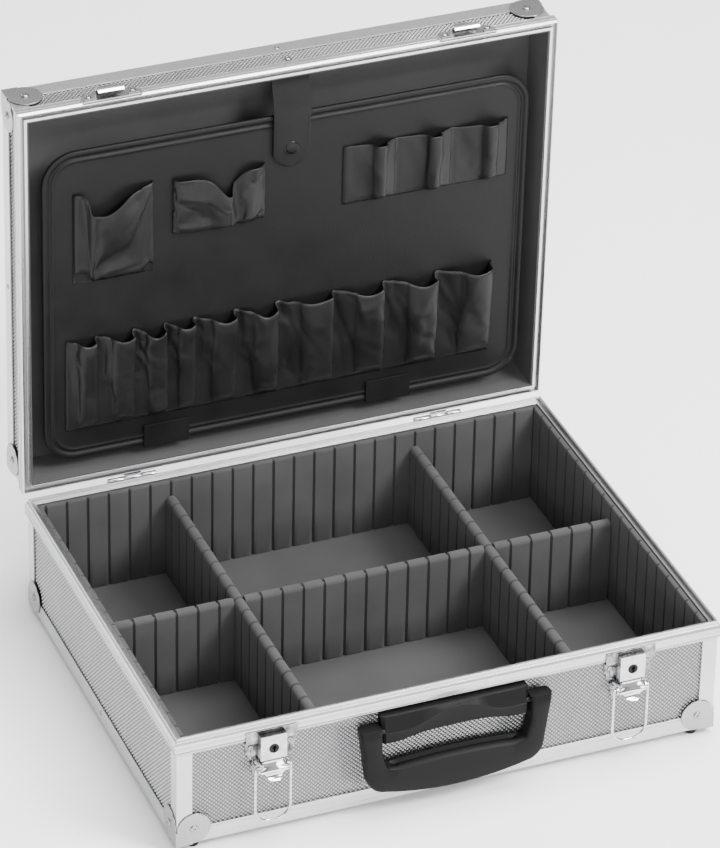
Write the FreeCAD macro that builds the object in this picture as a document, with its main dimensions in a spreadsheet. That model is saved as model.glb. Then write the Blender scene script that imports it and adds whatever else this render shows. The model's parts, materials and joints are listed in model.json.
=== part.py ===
"""Aluminium attache case, open, with slotted foam dividers and a tool panel in the lid.

Everything is drawn in case coordinates: X to the right, Y to the back, Z up, with zero at the
middle of the case's underside and the lid closed. Each sub-part's Placement then moves it to the
part's own origin, and swings what belongs to the lid open about the hinge pin.
"""
import FreeCAD, Part
import os
import re
import Sketcher

DIMENSIONS = {
    # whole case
    "case_width": 450, "case_depth": 350, "base_height": 97.5, "lid_height": 44.5,
    "foot_height": 5.5, "origin_shift": -18, "open_angle": 89, "pin_reach": 3.5,
    # aluminium profiles, given as insets from the outermost faces
    "rim_drop": 13, "rim_inner": 7.15, "post_inset": 1.8, "post_leg": 12.5, "edge_leg": 13.5,
    "profile_sheet": 1.15, "under_leg": 18, "cap_inset": 0.8, "cap_sheet": 1, "closing_gap": 0.3,
    "tongue_start": 2, "tongue_end": 4, "tongue_rise": 3,
    "channel_start": 1.5, "channel_end": 4.9, "channel_rise": 3.6,
    # walls
    "panel_inset": 3, "panel_sheet": 3, "web_sheet": 1.65, "lining_start": 7.3, "lining_end": 8.5,
    # corner caps and feet
    "lobe_reach": 15.5, "lobe_radius": 13.5, "foot_side": 17, "foot_front": 9.5,
    "foot_radius": 5.8, "foot_tip": 4.6,
    # foam liners and dividers
    "liner_start": 7.4, "liner_end": 11.5, "liner_floor": 8.1, "liner_top": 96,
    "groove_width": 2, "groove_depth": 2.4, "groove_pitch": 17.7, "groove_first": -211.2,
    "cross_line": 9, "divider_sheet": 9, "divider_floor": 8.3, "divider_top": 83.5,
    "divider_gap": 0.3, "tab_sheet": 1.4, "tab_reach": 2.1,
    # handle
    "bracket_half": 60.5, "bracket_top": 84, "bracket_low": 61, "bracket_arch": 65.5,
    "bracket_reach": 12.5, "grip_half": 79.5, "grip_gap": 61.3, "grip_foot_half": 71.5,
    "grip_bottom": 17, "grip_bow": 7, "grip_bar_top": 40, "grip_crown": 3, "grip_shoulder": 56,
    "grip_depth": 14, "pivot_out": 9, "pivot_height": 72,
    # latches
    "latch_x": 148, "plate_half": 20.7, "plate_foot_half": 13, "plate_foot": 50, "plate_lip": 94,
    "box_half": 10.5, "box_low": 69.2, "box_top": 90.5, "box_front": 6, "plug_height": 79,
    "plug_radius": 3.9, "lever_out": 2.5, "lever_height": 66, "lever_tilt": 20, "lever_drop": 17,
    "ear_half": 12.7, "eye_drop": 6, "bail_half": 14.3, "wire_radius": 1.15, "bail_length": 49,
    "bail_bend": 12,
    # hinges
    "hinge_x": 133, "hinge_half": 20.5, "knuckle_radius": 2.4, "pin_radius": 1.2, "leaf_drop": 18,
    "leaf_sheet": 1.2,
    # tool panel
    "tool_left": -203.5, "tool_right": 207.5, "tool_front": -128.5, "tool_back": 156.5,
    "tool_face": 108, "tool_sheet": 3, "tool_corner": 28, "binding_width": 5,
    "binding_sheet": 0.9, "tab_front": 137, "tab_turn": 1.5, "tab_back_reach": 14,
    # retaining strap and its snap
    "strap_x": 3, "strap_half": 15.5, "strap_end": -81, "strap_sheet": 1.4, "strap_lift": 2.8,
    "strap_kink": 5.5, "strap_root": 17, "root_gap": 1.9, "snap_y": -99, "snap_hole": 2.2,
}

doc = FreeCAD.newDocument("attache_case")
sheet = doc.addObject("Spreadsheet::Sheet", "sizes")
for row, (alias, size) in enumerate(DIMENSIONS.items(), start=1):
    sheet.set(f"A{row}", alias)
    sheet.set(f"B{row}", str(size))
    sheet.setAlias(f"B{row}", alias)
doc.recompute()

ALIAS = re.compile(r"\b(" + "|".join(DIMENSIONS) + r")\b")
VECTOR = FreeCAD.Vector
nodes = []


# ---------------------------------------------------------------- helpers
def formula(text):
    """Write a formula of driving dimensions as the sheet's cells name them."""
    return ALIAS.sub(r"sizes.\1", str(text))


def number(text):
    """The value of a formula now, for a first placing of sketch lines."""
    return float(sheet.evalExpression(formula(text)))


def bind(item, formulas):
    for target, text in formulas.items():
        item.setExpression(target, formula(text))


def side(axis, sign, inset):
    """Coordinate of a plane set in from an outer face of the case."""
    size = {"x": "case_width", "y": "case_depth"}[axis]
    return f"{sign} * ({size} / 2 - ({inset}))"


def span(axis, sign, outer, inner):
    """Low and high ends of a layer between two insets from one outer face."""
    ends = [side(axis, sign, outer), side(axis, sign, inner)]
    return ends if sign < 0 else ends[::-1]


def across(axis, inset):
    """Low and high ends of what runs from one face's inset to the other's."""
    return [side(axis, -1, inset), side(axis, 1, inset)]


def block(x, y, z):
    box = doc.addObject("Part::Box", "block")
    for target, axis, (low, high) in zip(("Length", "Width", "Height"), "xyz", (x, y, z)):
        bind(box, {target: f"({high}) - ({low})", "Placement.Base." + axis: low})
    return box


TURN = {"x": (VECTOR(0, 1, 0), 90), "y": (VECTOR(1, 0, 0), -90), "z": (VECTOR(0, 0, 1), 0)}


def rod(axis, radius, centre, ends):
    """Cylinder along an axis; centre gives its other two coordinates in X, Y, Z order."""
    item = doc.addObject("Part::Cylinder", "rod")
    item.Placement.Rotation = FreeCAD.Rotation(*TURN[axis])
    places = dict(zip([a for a in "xyz" if a != axis], centre))
    places[axis] = ends[0]
    bind(item, {"Radius": radius, "Height": f"({ends[1]}) - ({ends[0]})"})
    bind(item, {"Placement.Base." + a: text for a, text in places.items()})
    return item


def taper(axis, wide, narrow, centre, start, height, sign=1):
    """Cone frustum that starts wide at one place on an axis and narrows as it rises."""
    item = doc.addObject("Part::Cone", "taper")
    turn = FreeCAD.Rotation(*TURN[axis])
    if sign < 0:
        turn = turn.multiply(FreeCAD.Rotation(VECTOR(1, 0, 0), 180))
    item.Placement.Rotation = turn
    places = dict(zip([a for a in "xyz" if a != axis], centre))
    places[axis] = start
    bind(item, {"Radius1": wide, "Radius2": narrow, "Height": height})
    bind(item, {"Placement.Base." + a: text for a, text in places.items()})
    return item


def join(parts, name="join"):
    fuse = doc.addObject("Part::MultiFuse", name)
    fuse.Shapes = parts
    return fuse


def cut(base, tools, name="cut"):
    result = doc.addObject("Part::Cut", name)
    result.Base = base
    result.Tool = tools[0] if len(tools) == 1 else join(tools)
    return result


def common(base, tool, name="common"):
    result = doc.addObject("Part::Common", name)
    result.Base = base
    result.Tool = tool
    return result


def collect(parts, name):
    group = doc.addObject("Part::Compound", name)
    group.Links = parts
    return group


def settle(item, name, lid=False, at=("0", "0", "0"), tilt="0"):
    """Name a finished sub-part, and place it in the part's own frame.

    at is where the sub-part's own zero lies in case coordinates, and tilt is its rest
    angle about X there. Lid pieces also swing open about the hinge pin.
    """
    item.Label = name
    x, y, z = at
    base = f"create(<<vector>>; {x}; {y} + origin_shift; {z} + foot_height)"
    axis = "create(<<vector>>; 1; 0; 0)"
    if lid:
        turn = f"create(<<rotation>>; {axis}; -open_angle)"
        centre = (f"create(<<vector>>; 0; case_depth / 2 + pin_reach - ({y});"
                  f" base_height - ({z}))")
    else:
        turn = f"create(<<rotation>>; {axis}; {tilt})"
        centre = "create(<<vector>>; 0; 0; 0)"
    bind(item, {"Placement": f"create(<<placement>>; {base}; {turn}; {centre})"})
    nodes.append(item)
    return item


def solo(item, name, **where):
    """A sub-part made of one primitive."""
    return settle(collect([item], name), name, **where)


def origin_item(body, role):
    return next(item for item in body.Origin.OriginFeatures if item.Role == role)


def outline(body, plane, loops, name="outline"):
    """Closed outlines on one of a body's own planes, each corner held by two formulas."""
    sketch = body.newObject("Sketcher::SketchObject", name)
    sketch.AttachmentSupport = [(origin_item(body, plane), "")]
    sketch.MapMode = "FlatFace"
    for corners in loops:
        first = sketch.GeometryCount
        count = len(corners)
        spots = [VECTOR(number(x), number(y), 0) for x, y in corners]
        for index, spot in enumerate(spots):
            sketch.addGeometry(Part.LineSegment(spot, spots[(index + 1) % count]))
        for index in range(count):
            sketch.addConstraint(Sketcher.Constraint(
                "Coincident", first + index, 2, first + (index + 1) % count, 1))
        for index, (corner, spot) in enumerate(zip(corners, spots)):
            for kind, text, place in zip(("DistanceX", "DistanceY"), corner, (spot.x, spot.y)):
                held = sketch.addConstraint(
                    Sketcher.Constraint(kind, -1, 1, first + index, 1, place))
                sketch.setExpression(f"Constraints[{held}]", formula(text))
    return sketch


def rectangle(x, y):
    return [(x[0], y[0]), (x[1], y[0]), (x[1], y[1]), (x[0], y[1])]


def pad(body, sketch, length):
    """Thicken an outline equally to both sides of its plane."""
    feature = body.newObject("PartDesign::Pad", "pad")
    feature.Profile = sketch
    feature.Midplane = True
    bind(feature, {"Length": length})
    return feature


def pocket(body, sketch, length):
    """Cut an outline equally to both sides of its plane, and make sure that it cuts."""
    doc.recompute()
    before = body.Shape.Volume
    feature = body.newObject("PartDesign::Pocket", "pocket")
    feature.Profile = sketch
    feature.Midplane = True
    bind(feature, {"Length": length})
    doc.recompute()
    if body.Shape.Volume > before - 1e-3:
        raise RuntimeError(f"{body.Name}: the pocket cuts nothing")
    return feature


def repeat(body, feature, axis, pitch, count):
    pattern = body.newObject("PartDesign::LinearPattern", "pattern")
    pattern.Originals = [feature]
    pattern.Direction = (origin_item(body, axis + "_Axis"), [""])
    bind(pattern, {"Length": f"({pitch}) * ({count} - 1)", "Occurrences": count})
    body.Tip = pattern
    return pattern


def round_edges(body, radius, chosen):
    """Round the edges of a body's last feature for which chosen(edge) holds."""
    doc.recompute()
    last = body.Tip
    names = [f"Edge{index}" for index, edge in enumerate(last.Shape.Edges, start=1) if chosen(edge)]
    if not names:
        raise RuntimeError(f"{body.Name}: no edge to round")
    feature = body.newObject("PartDesign::Fillet", "rounding")
    feature.Base = (last, names)
    bind(feature, {"Radius": radius})
    doc.recompute()
    return feature


def along(edge, axis):
    """True for a straight edge that runs along an axis."""
    if edge.Curve.TypeId != "Part::GeomLine":
        return False
    direction = edge.Curve.Direction
    return abs(getattr(direction, axis)) > 0.999


def new_body(name):
    return doc.addObject("PartDesign::Body", name)


def ring(name, corners, height):
    """Mitred frame all round the case: corners are (inset, height) pairs of one stick's section."""
    body = new_body(name)
    path = outline(body, "XY_Plane", [rectangle(across("x", 0), across("y", 0))], "path")
    section = outline(body, "YZ_Plane",
                      [[(side("y", -1, inset), f"{height} + ({rise})") for inset, rise in corners]],
                      "section")
    pipe = body.newObject("PartDesign::AdditivePipe", "frame")
    pipe.Profile = section
    pipe.Spine = (path, ["Edge1", "Edge2", "Edge3", "Edge4"])
    pipe.Transition = "Right corner"
    return body


CORNERS = [(-1, -1), (1, -1), (1, 1), (-1, 1)]
LID_TOP = "base_height + lid_height"
PANEL_FACE = "panel_inset"
PANEL_BACK = "panel_inset + panel_sheet"

# ---------------------------------------------------------------- rivets and screws
SHANK = "1.6"
HEAD = "3.1"
HEAD_RISE = "1.2"
SMALL_RIVET = ("2.2", "1.3")
LATCH_RIVET_SPOTS = ((15.8, 78), (-15.8, 78), (13.4, 60), (-13.4, 60))
STRIKE_RIVET_OFFSET = 18
HINGE_RIVET_OFFSETS = (-14, 0, 14)
RIVET_TO_SEAM = 8


def rivet(axis, centre, face, sign, grip, wide=HEAD, shank=SHANK, rise=HEAD_RISE):
    """One rivet: its head stands out of a face in the direction of sign, its shank goes in."""
    head = taper(axis, wide, f"({wide}) * 0.6", centre, face, rise, sign)
    ends = [f"({face}) - {sign} * ({grip})", face]
    body = rod(axis, shank, centre, ends if sign > 0 else ends[::-1])
    return join([head, body], "rivet")


def shanks(rivets):
    """The same rivets' shanks, as the tool that drills their holes."""
    return [item.Shapes[1] for item in rivets]


def cap_rivets(top):
    """Rivets on the two upright lobes of each corner cap, and on the lid's upper lobes too."""
    rivets = []
    level = f"{LID_TOP} - lobe_reach + cap_inset" if top else "lobe_reach - cap_inset"
    grip = "panel_inset + panel_sheet - cap_inset"
    for sign_x, sign_y in CORNERS:
        rivets.append(rivet("x", (side("y", sign_y, "lobe_reach"), level),
                            side("x", sign_x, "cap_inset"), sign_x, grip))
        rivets.append(rivet("y", (side("x", sign_x, "lobe_reach"), level),
                            side("y", sign_y, "cap_inset"), sign_y, grip))
        if top:
            rivets.append(rivet("z", (side("x", sign_x, "lobe_reach"),
                                      side("y", sign_y, "lobe_reach")),
                                LID_TOP, 1, "cap_sheet + profile_sheet + panel_sheet"))
    return rivets


def frame_rivets(level):
    """Small flush rivets at the middle of each side's edge profile."""
    rivets = []
    grip = "panel_inset + panel_sheet - post_inset"
    for sign in (-1, 1):
        for axis in "xy":
            rivets.append(rivet(axis, ("0", level), side(axis, sign, "post_inset"), sign, grip,
                                *SMALL_RIVET, "0.5"))
    return rivets


def latch_rivets():
    rivets = []
    for sign in (-1, 1):
        for offset, level in LATCH_RIVET_SPOTS:
            rivets.append(rivet("y", (f"{sign} * latch_x + {offset}", level),
                                f"{side('y', -1, PANEL_FACE)} - 1", -1, "panel_sheet + 1",
                                *SMALL_RIVET, "0.8"))
    return rivets


def strike_rivets():
    rivets = []
    for sign in (-1, 1):
        for offset in (-STRIKE_RIVET_OFFSET, STRIKE_RIVET_OFFSET):
            rivets.append(rivet("y", (f"{sign} * latch_x + {offset}", f"base_height + {RIVET_TO_SEAM}"),
                                f"{side('y', -1, 0)} - 1.25", -1,
                                "panel_inset + panel_sheet + 1.25", "2.6", "1.4", "0.9"))
    return rivets


def hinge_rivets(level):
    rivets = []
    for sign in (-1, 1):
        for offset in HINGE_RIVET_OFFSETS:
            rivets.append(rivet("y", (f"{sign} * hinge_x + {offset}", level),
                                f"{side('y', 1, 0)} + 0.1 + leaf_sheet", 1,
                                "panel_inset + panel_sheet + 0.1 + leaf_sheet",
                                *SMALL_RIVET, "0.7"))
    return rivets


base_cap_rivets = cap_rivets(False)
lid_cap_rivets = cap_rivets(True)
base_edge_rivets = frame_rivets("edge_leg / 2 + 1")
lid_edge_rivets = frame_rivets(f"{LID_TOP} - edge_leg / 2 - 1")
latch_pins = latch_rivets()
strike_pins = strike_rivets()
base_hinge_rivets = hinge_rivets(f"base_height - {RIVET_TO_SEAM}")
lid_hinge_rivets = hinge_rivets(f"base_height + {RIVET_TO_SEAM}")
strap_pin = rivet("y", ("strap_x", "base_height + strap_root + 4"), side("y", -1, PANEL_FACE), -1,
                  "lining_end - panel_inset + 1.2", "3", "1.4", "0.9")
BRACKET_SCREW = "45"
FOOT_SEAT = "-2.4"
bracket_screws = [
    rivet("y", (offset, "75"), side("y", -1, PANEL_BACK), 1, "panel_sheet + 8", "4", "1.9", "1.2")
    for offset in (f"-{BRACKET_SCREW}", BRACKET_SCREW)]
foot_spots = [(side("x", sx, "foot_side"), side("y", sy, "foot_front")) for sx, sy in CORNERS]
foot_screws = [rivet("z", spot, FOOT_SEAT, -1, f"-({FOOT_SEAT}) + cap_sheet + profile_sheet + panel_sheet",
                     "2.6", "1.5", "1.2") for spot in foot_spots]

# ---------------------------------------------------------------- shell panels
WALL_LOW = "cap_sheet + profile_sheet + panel_sheet"


def shell(prefix, lid):
    """The laminated panels: four walls and the bottom or the top."""
    if lid:
        walls = ["base_height + closing_gap + channel_rise + web_sheet", f"{LID_TOP} - ({WALL_LOW})"]
        plate = [f"{LID_TOP} - ({WALL_LOW})", f"{LID_TOP} - cap_sheet - profile_sheet"]
    else:
        walls = [WALL_LOW, "base_height - web_sheet"]
        plate = ["cap_sheet + profile_sheet", WALL_LOW]
    full_x = across("x", PANEL_FACE)
    side_y = across("y", PANEL_BACK)
    front = block(full_x, span("y", -1, PANEL_FACE, PANEL_BACK), walls)
    back = block(full_x, span("y", 1, PANEL_FACE, PANEL_BACK), walls)
    left = block(span("x", -1, PANEL_FACE, PANEL_BACK), side_y, walls)
    right = block(span("x", 1, PANEL_FACE, PANEL_BACK), side_y, walls)
    flat = block(full_x, across("y", PANEL_FACE), plate)
    caps = shanks(lid_cap_rivets if lid else base_cap_rivets)
    caps += shanks(lid_edge_rivets if lid else base_edge_rivets)
    front_holes = shanks(strike_pins + [strap_pin] if lid else latch_pins + bracket_screws)
    back_holes = shanks(lid_hinge_rivets if lid else base_hinge_rivets)
    flat_holes = [] if lid else shanks(foot_screws)
    settle(cut(front, caps + front_holes), prefix + "_front_panel", lid)
    settle(cut(back, caps + back_holes), prefix + "_back_panel", lid)
    settle(cut(left, caps), prefix + "_left_panel", lid)
    settle(cut(right, caps), prefix + "_right_panel", lid)
    settle(cut(flat, caps + flat_holes), prefix + ("_top_panel" if lid else "_bottom_panel"), lid)


shell("base", False)
shell("lid", True)

# ---------------------------------------------------------------- mitred aluminium frames
INNER_WALL = "panel_inset + panel_sheet + 0.15"
base_rim = ring("base_rim_stick", [
    ("post_inset", "-rim_drop"), ("0", "-9"), ("0", "-2.5"), ("0.9", "0"),
    ("tongue_start", "0"), ("tongue_start", "tongue_rise"), ("tongue_end", "tongue_rise"),
    ("tongue_end", "0"), ("rim_inner", "0"), ("rim_inner", "-rim_drop"),
    (INNER_WALL, "-rim_drop"), (INNER_WALL, "-web_sheet"),
    ("panel_inset - 0.1", "-web_sheet"), ("panel_inset - 0.1", "-rim_drop")], "base_height")
lid_rim = ring("lid_rim_stick", [
    ("0.9", "0"), ("0", "2.5"), ("0", "9"), ("post_inset", "rim_drop"),
    ("panel_inset - 0.1", "rim_drop"), ("panel_inset - 0.1", "channel_rise + web_sheet"),
    (INNER_WALL, "channel_rise + web_sheet"), (INNER_WALL, "rim_drop"),
    ("rim_inner", "rim_drop"), ("rim_inner", "0"), ("channel_end", "0"),
    ("channel_end", "channel_rise"), ("channel_start", "channel_rise"), ("channel_start", "0")],
    "base_height + closing_gap")
settle(cut(base_rim, shanks(base_hinge_rivets)), "base_rim_frame")
settle(cut(lid_rim, shanks(lid_hinge_rivets + strike_pins)), "lid_rim_frame", True)

LEG_BACK = "post_inset + profile_sheet"
base_edge = ring("base_edge_stick", [
    ("post_inset", "cap_sheet"), ("post_inset", "cap_sheet + edge_leg"),
    (LEG_BACK, "cap_sheet + edge_leg"), (LEG_BACK, "cap_sheet + profile_sheet"),
    ("under_leg", "cap_sheet + profile_sheet"), ("under_leg", "cap_sheet")], "0")
lid_edge = ring("lid_edge_stick", [
    ("post_inset", "-cap_sheet"), ("under_leg", "-cap_sheet"),
    ("under_leg", "-cap_sheet - profile_sheet"), (LEG_BACK, "-cap_sheet - profile_sheet"),
    (LEG_BACK, "-cap_sheet - edge_leg"), ("post_inset", "-cap_sheet - edge_leg")], LID_TOP)
settle(cut(base_edge, shanks(base_cap_rivets + base_edge_rivets + foot_screws)), "base_bottom_frame")
settle(cut(lid_edge, shanks(lid_cap_rivets + lid_edge_rivets)), "lid_top_frame", True)


def corner_posts(low, high, holes):
    posts = []
    for sign_x, sign_y in CORNERS:
        along_x = block(span("x", sign_x, "post_inset", "post_inset + post_leg"),
                        span("y", sign_y, "post_inset", LEG_BACK), [low, high])
        along_y = block(span("x", sign_x, "post_inset", LEG_BACK),
                        span("y", sign_y, "post_inset", "post_inset + post_leg"), [low, high])
        posts.append(cut(join([along_x, along_y]), holes))
    return posts


settle(collect(corner_posts("cap_sheet + edge_leg", "base_height - rim_drop",
                            shanks(base_cap_rivets)), "posts"), "base_corner_posts")
settle(collect(corner_posts("base_height + closing_gap + rim_drop",
                            f"{LID_TOP} - cap_sheet - edge_leg",
                            shanks(lid_cap_rivets)), "posts"), "lid_corner_posts", True)

# ---------------------------------------------------------------- corner caps


def corner_cap(sign_x, sign_y, top, holes):
    """A three-lobed steel cap: a disc on each face, joined by a hollow corner."""
    def level(inset):
        return f"{LID_TOP} - ({inset})" if top else inset

    def heights(outer, inner):
        ends = [level(outer), level(inner)]
        return ends[::-1] if top else ends

    sheet_back = "cap_inset + cap_sheet"
    centre_x = side("x", sign_x, "lobe_reach")
    centre_y = side("y", sign_y, "lobe_reach")
    centre_z = level("lobe_reach - cap_inset")
    discs = [
        rod("x", "lobe_radius", (centre_y, centre_z), span("x", sign_x, "cap_inset", sheet_back)),
        rod("y", "lobe_radius", (centre_x, centre_z), span("y", sign_y, "cap_inset", sheet_back)),
        rod("z", "lobe_radius", (centre_x, centre_y), heights("0", "cap_sheet")),
    ]
    outer = block(span("x", sign_x, "cap_inset", "cap_inset + lobe_radius"),
                  span("y", sign_y, "cap_inset", "cap_inset + lobe_radius"),
                  heights("0", "lobe_radius"))
    inner = block(span("x", sign_x, sheet_back, "cap_inset + lobe_radius + 1"),
                  span("y", sign_y, sheet_back, "cap_inset + lobe_radius + 1"),
                  heights("cap_sheet", "lobe_radius + 1"))
    return cut(join(discs + [cut(outer, [inner])]), holes)


for prefix, top, rivets in (("base", False, base_cap_rivets), ("lid", True, lid_cap_rivets)):
    drills = shanks(rivets + ([] if top else foot_screws))
    caps = [corner_cap(sx, sy, top, drills) for sx, sy in CORNERS]
    settle(collect(caps, "caps"), prefix + "_corner_caps", top)
settle(collect(base_cap_rivets + base_edge_rivets + latch_pins + base_hinge_rivets, "rivets"),
       "base_rivets")
settle(collect(lid_cap_rivets + lid_edge_rivets + strike_pins + lid_hinge_rivets + [strap_pin],
               "rivets"), "lid_rivets", True)

# ---------------------------------------------------------------- feet
feet = []
for spot in foot_spots:
    dome = taper("z", "foot_radius", "foot_tip", spot, "0", "foot_height", -1)
    seat = rod("z", "3", spot, ["-foot_height - 1", FOOT_SEAT])
    feet.append(cut(dome, [seat, rod("z", "1.5", spot, ["-3", "1"])]))
settle(collect(feet, "feet"), "rubber_feet")
settle(collect(foot_screws + bracket_screws, "screws"), "case_screws")

# ---------------------------------------------------------------- foam floor and slotted liners
solo(block(across("x", "lining_start"), across("y", "lining_start"),
           [f"{WALL_LOW} + 0.1", "liner_floor - 0.1"]), "floor_pad")


def slotted_liner(name, run, sign, first, count):
    """Foam wall board with upright grooves; run is the axis along which it lies."""
    body = new_body(name)
    cross = "y" if run == "x" else "x"
    thick = span(cross, sign, "liner_start", "liner_end")
    length = across(run, "liner_start" if run == "x" else "liner_end + 0.1")
    slot = [f"({first}) - groove_width / 2", f"({first}) + groove_width / 2"]
    deep = span(cross, sign, "liner_end - groove_depth", "liner_end + 1")
    if run == "x":
        board = outline(body, "XY_Plane", [rectangle(length, thick)])
        notch = outline(body, "XY_Plane", [rectangle(slot, deep)])
    else:
        board = outline(body, "XY_Plane", [rectangle(thick, length)])
        notch = outline(body, "XY_Plane", [rectangle(deep, slot)])
    pad(body, board, "liner_top - liner_floor")
    groove = pocket(body, notch, "liner_top")
    repeat(body, groove, run.upper(), "groove_pitch", count)
    settle(body, name, at=("0", "0", "(liner_top + liner_floor) / 2"))


GROOVES_ALONG, GROOVES_DEEP = 24, 18
CROSS_FIRST = f"cross_line - {GROOVES_DEEP // 2} * groove_pitch"
slotted_liner("liner_front", "x", -1, "groove_first", GROOVES_ALONG)
slotted_liner("liner_back", "x", 1, "groove_first", GROOVES_ALONG)
slotted_liner("liner_left", "y", -1, CROSS_FIRST, GROOVES_DEEP)
slotted_liner("liner_right", "y", 1, CROSS_FIRST, GROOVES_DEEP)


def upright(run, across, stretch, tall):
    """Block given by its stretch along a divider's run and its extent across the run."""
    return block(stretch, across, tall) if run == "x" else block(across, stretch, tall)


def divider(name, run, low, high, place, first, count, crossed=None):
    """Foam divider with a rounded top, grooves on both faces and a thin tab at each end.

    The tabs are pieces of their own. A divider that others slide into at the place crossed
    is in three lengths there, the middle one being the web of that groove.
    """
    body = new_body(name + "_foam")
    plane = "YZ_Plane" if run == "x" else "XZ_Plane"
    half = "divider_sheet / 2"
    tall = ["divider_floor", "divider_top"]
    middle = f"(({low}) + ({high})) / 2"
    length = f"({high}) - ({low})"
    pad(body, outline(body, plane, [rectangle([f"-{half}", half], tall)]), length)
    top = number("divider_top")
    round_edges(body, f"{half} - 0.1",
                lambda edge: along(edge, run) and abs(edge.CenterOfMass.z - top) < 0.01)
    core = rectangle([f"-{half} + groove_depth", f"{half} - groove_depth"],
                     ["divider_floor - 2", "divider_top - 1.5"])
    rim = rectangle([f"-{half} - 1", f"{half} + 1"], ["divider_floor - 3", "divider_top + 1"])
    notch = outline(body, plane, [rim, core])
    toward = 1 if run == "x" else -1
    bind(notch, {"AttachmentOffset.Base.z": f"{toward} * ({first} - {middle})"})
    groove = pocket(body, notch, "groove_width")
    repeat(body, groove, run.upper(), "groove_pitch", count)
    end = f"({length}) / 2"
    lengths = [body]
    if crossed is not None:
        stops = [f"-{end} - 1", f"{crossed} - groove_width / 2", f"{crossed} + groove_width / 2",
                 f"{end} + 1"]
        lengths = [common(body, upright(run, ["-divider_sheet", "divider_sheet"], stretch,
                                        ["divider_floor - 1", "divider_top + 1"]))
                   for stretch in zip(stops, stops[1:])]
    reach = "(tab_reach + divider_gap)"
    for stretch in ([f"-{end} - {reach}", f"-{end}"], [end, f"{end} + {reach}"]):
        lengths.append(upright(run, ["-tab_sheet / 2", "tab_sheet / 2"], stretch,
                               ["divider_floor + 1", "divider_top - 6"]))
    at = (middle, place, "0") if run == "x" else (place, middle, "0")
    settle(collect(lengths, name), name, at=at)


LEFT_LINE = "groove_first + 6 * groove_pitch"
RIGHT_LINE = "groove_first + 18 * groove_pitch"
WALL_GAP = "liner_end + divider_gap"
SIDE_GAP = "(divider_sheet / 2 + divider_gap)"
for name, line in (("divider_long_left", LEFT_LINE), ("divider_long_right", RIGHT_LINE)):
    divider(name, "y", side("y", -1, WALL_GAP), side("y", 1, WALL_GAP), line, CROSS_FIRST,
            GROOVES_DEEP, crossed="cross_line")
divider("divider_cross_left", "x", side("x", -1, WALL_GAP), f"{LEFT_LINE} - {SIDE_GAP}",
        "cross_line", "groove_first + groove_pitch", 5)
divider("divider_cross_middle", "x", f"{LEFT_LINE} + {SIDE_GAP}", f"{RIGHT_LINE} - {SIDE_GAP}",
        "cross_line", f"{LEFT_LINE} + groove_pitch", 11)
divider("divider_cross_right", "x", f"{RIGHT_LINE} + {SIDE_GAP}", side("x", 1, WALL_GAP),
        "cross_line", f"{RIGHT_LINE} + groove_pitch", 5)

# ---------------------------------------------------------------- handle
PIVOT = (f"{side('y', -1, PANEL_FACE)} - pivot_out", "pivot_height")
PIN = "2"
pin_ends = [["-bracket_half - 10", "-bracket_half + 12"], ["bracket_half - 12", "bracket_half + 10"]]
handle_pins = [rod("x", PIN, PIVOT, ends) for ends in pin_ends]

bracket = new_body("bracket_form")
arch = [("-bracket_half", "bracket_low"), ("-bracket_half * 0.62", "bracket_low + 1"),
        ("-bracket_half * 0.3", "bracket_arch"), ("bracket_half * 0.3", "bracket_arch"),
        ("bracket_half * 0.62", "bracket_low + 1"), ("bracket_half", "bracket_low"),
        ("bracket_half", "bracket_top"), ("-bracket_half", "bracket_top")]
pad(bracket, outline(bracket, "XZ_Plane", [arch]), "bracket_reach")
round_edges(bracket, "2.5", lambda edge: edge.BoundBox.YMax < 0)
bracket_middle = f"{side('y', -1, PANEL_FACE)} - bracket_reach / 2"
bracket.setExpression("Placement.Base.y", formula(bracket_middle))
settle(cut(bracket, handle_pins + shanks(bracket_screws)), "handle_bracket")

grip = new_body("grip_form")
TOP = "pivot_height + grip_depth / 2"
LOWEST = "grip_bottom - grip_bow"
CROWN = "grip_bar_top + grip_crown"
loop = [("-grip_gap", TOP), ("-grip_half", TOP), ("-grip_foot_half", "grip_bottom"),
        ("-28", LOWEST), ("28", LOWEST),
        ("grip_foot_half", "grip_bottom"), ("grip_half", TOP), ("grip_gap", TOP),
        ("grip_gap", "grip_shoulder"), ("grip_foot_half - 14.5", "grip_bar_top"),
        ("24", CROWN), ("-24", CROWN),
        ("-grip_foot_half + 14.5", "grip_bar_top"), ("-grip_gap", "grip_shoulder")]
pad(grip, outline(grip, "XZ_Plane", [loop]), "grip_depth")
grip_bottom = number("grip_bottom")
grip_bar_top = number("grip_bar_top")
grip_top = number(TOP)


def across_at(level):
    """Chooses the two short edges through the grip at a height: its corners there."""
    return lambda edge: along(edge, "y") and abs(edge.CenterOfMass.z - level) < 0.01


round_edges(grip, "16", across_at(grip_bottom))
round_edges(grip, "5", across_at(grip_bar_top))
round_edges(grip, "grip_depth / 2 - 0.05",
            lambda edge: along(edge, "x") and abs(edge.CenterOfMass.z - grip_top) < 0.01)
grip.setExpression("Placement.Base.y", formula(PIVOT[0]))
pin_bores = [rod("x", "2.06", PIVOT, [f"{low} - 0.3", f"{high} + 0.3"]) for low, high in pin_ends]
settle(cut(grip, pin_bores), "handle_grip")

# ---------------------------------------------------------------- latches
PANEL_Y = side("y", -1, PANEL_FACE)
FLANGE_Y = f"{side('y', -1, 0)} - 0.05"
LEVER_Y = f"{FLANGE_Y} - lever_out"
LIP_LOW = "base_height - rim_drop - 0.3"
PLATE = 1
LUG_OFFSET = 8.9


def rod_at(x, radius, y, z, reach):
    """Rod along X, centred on x and reaching equally to both sides."""
    return rod("x", radius, (y, z), [f"{x} - {reach}", f"{x} + {reach}"])


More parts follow.
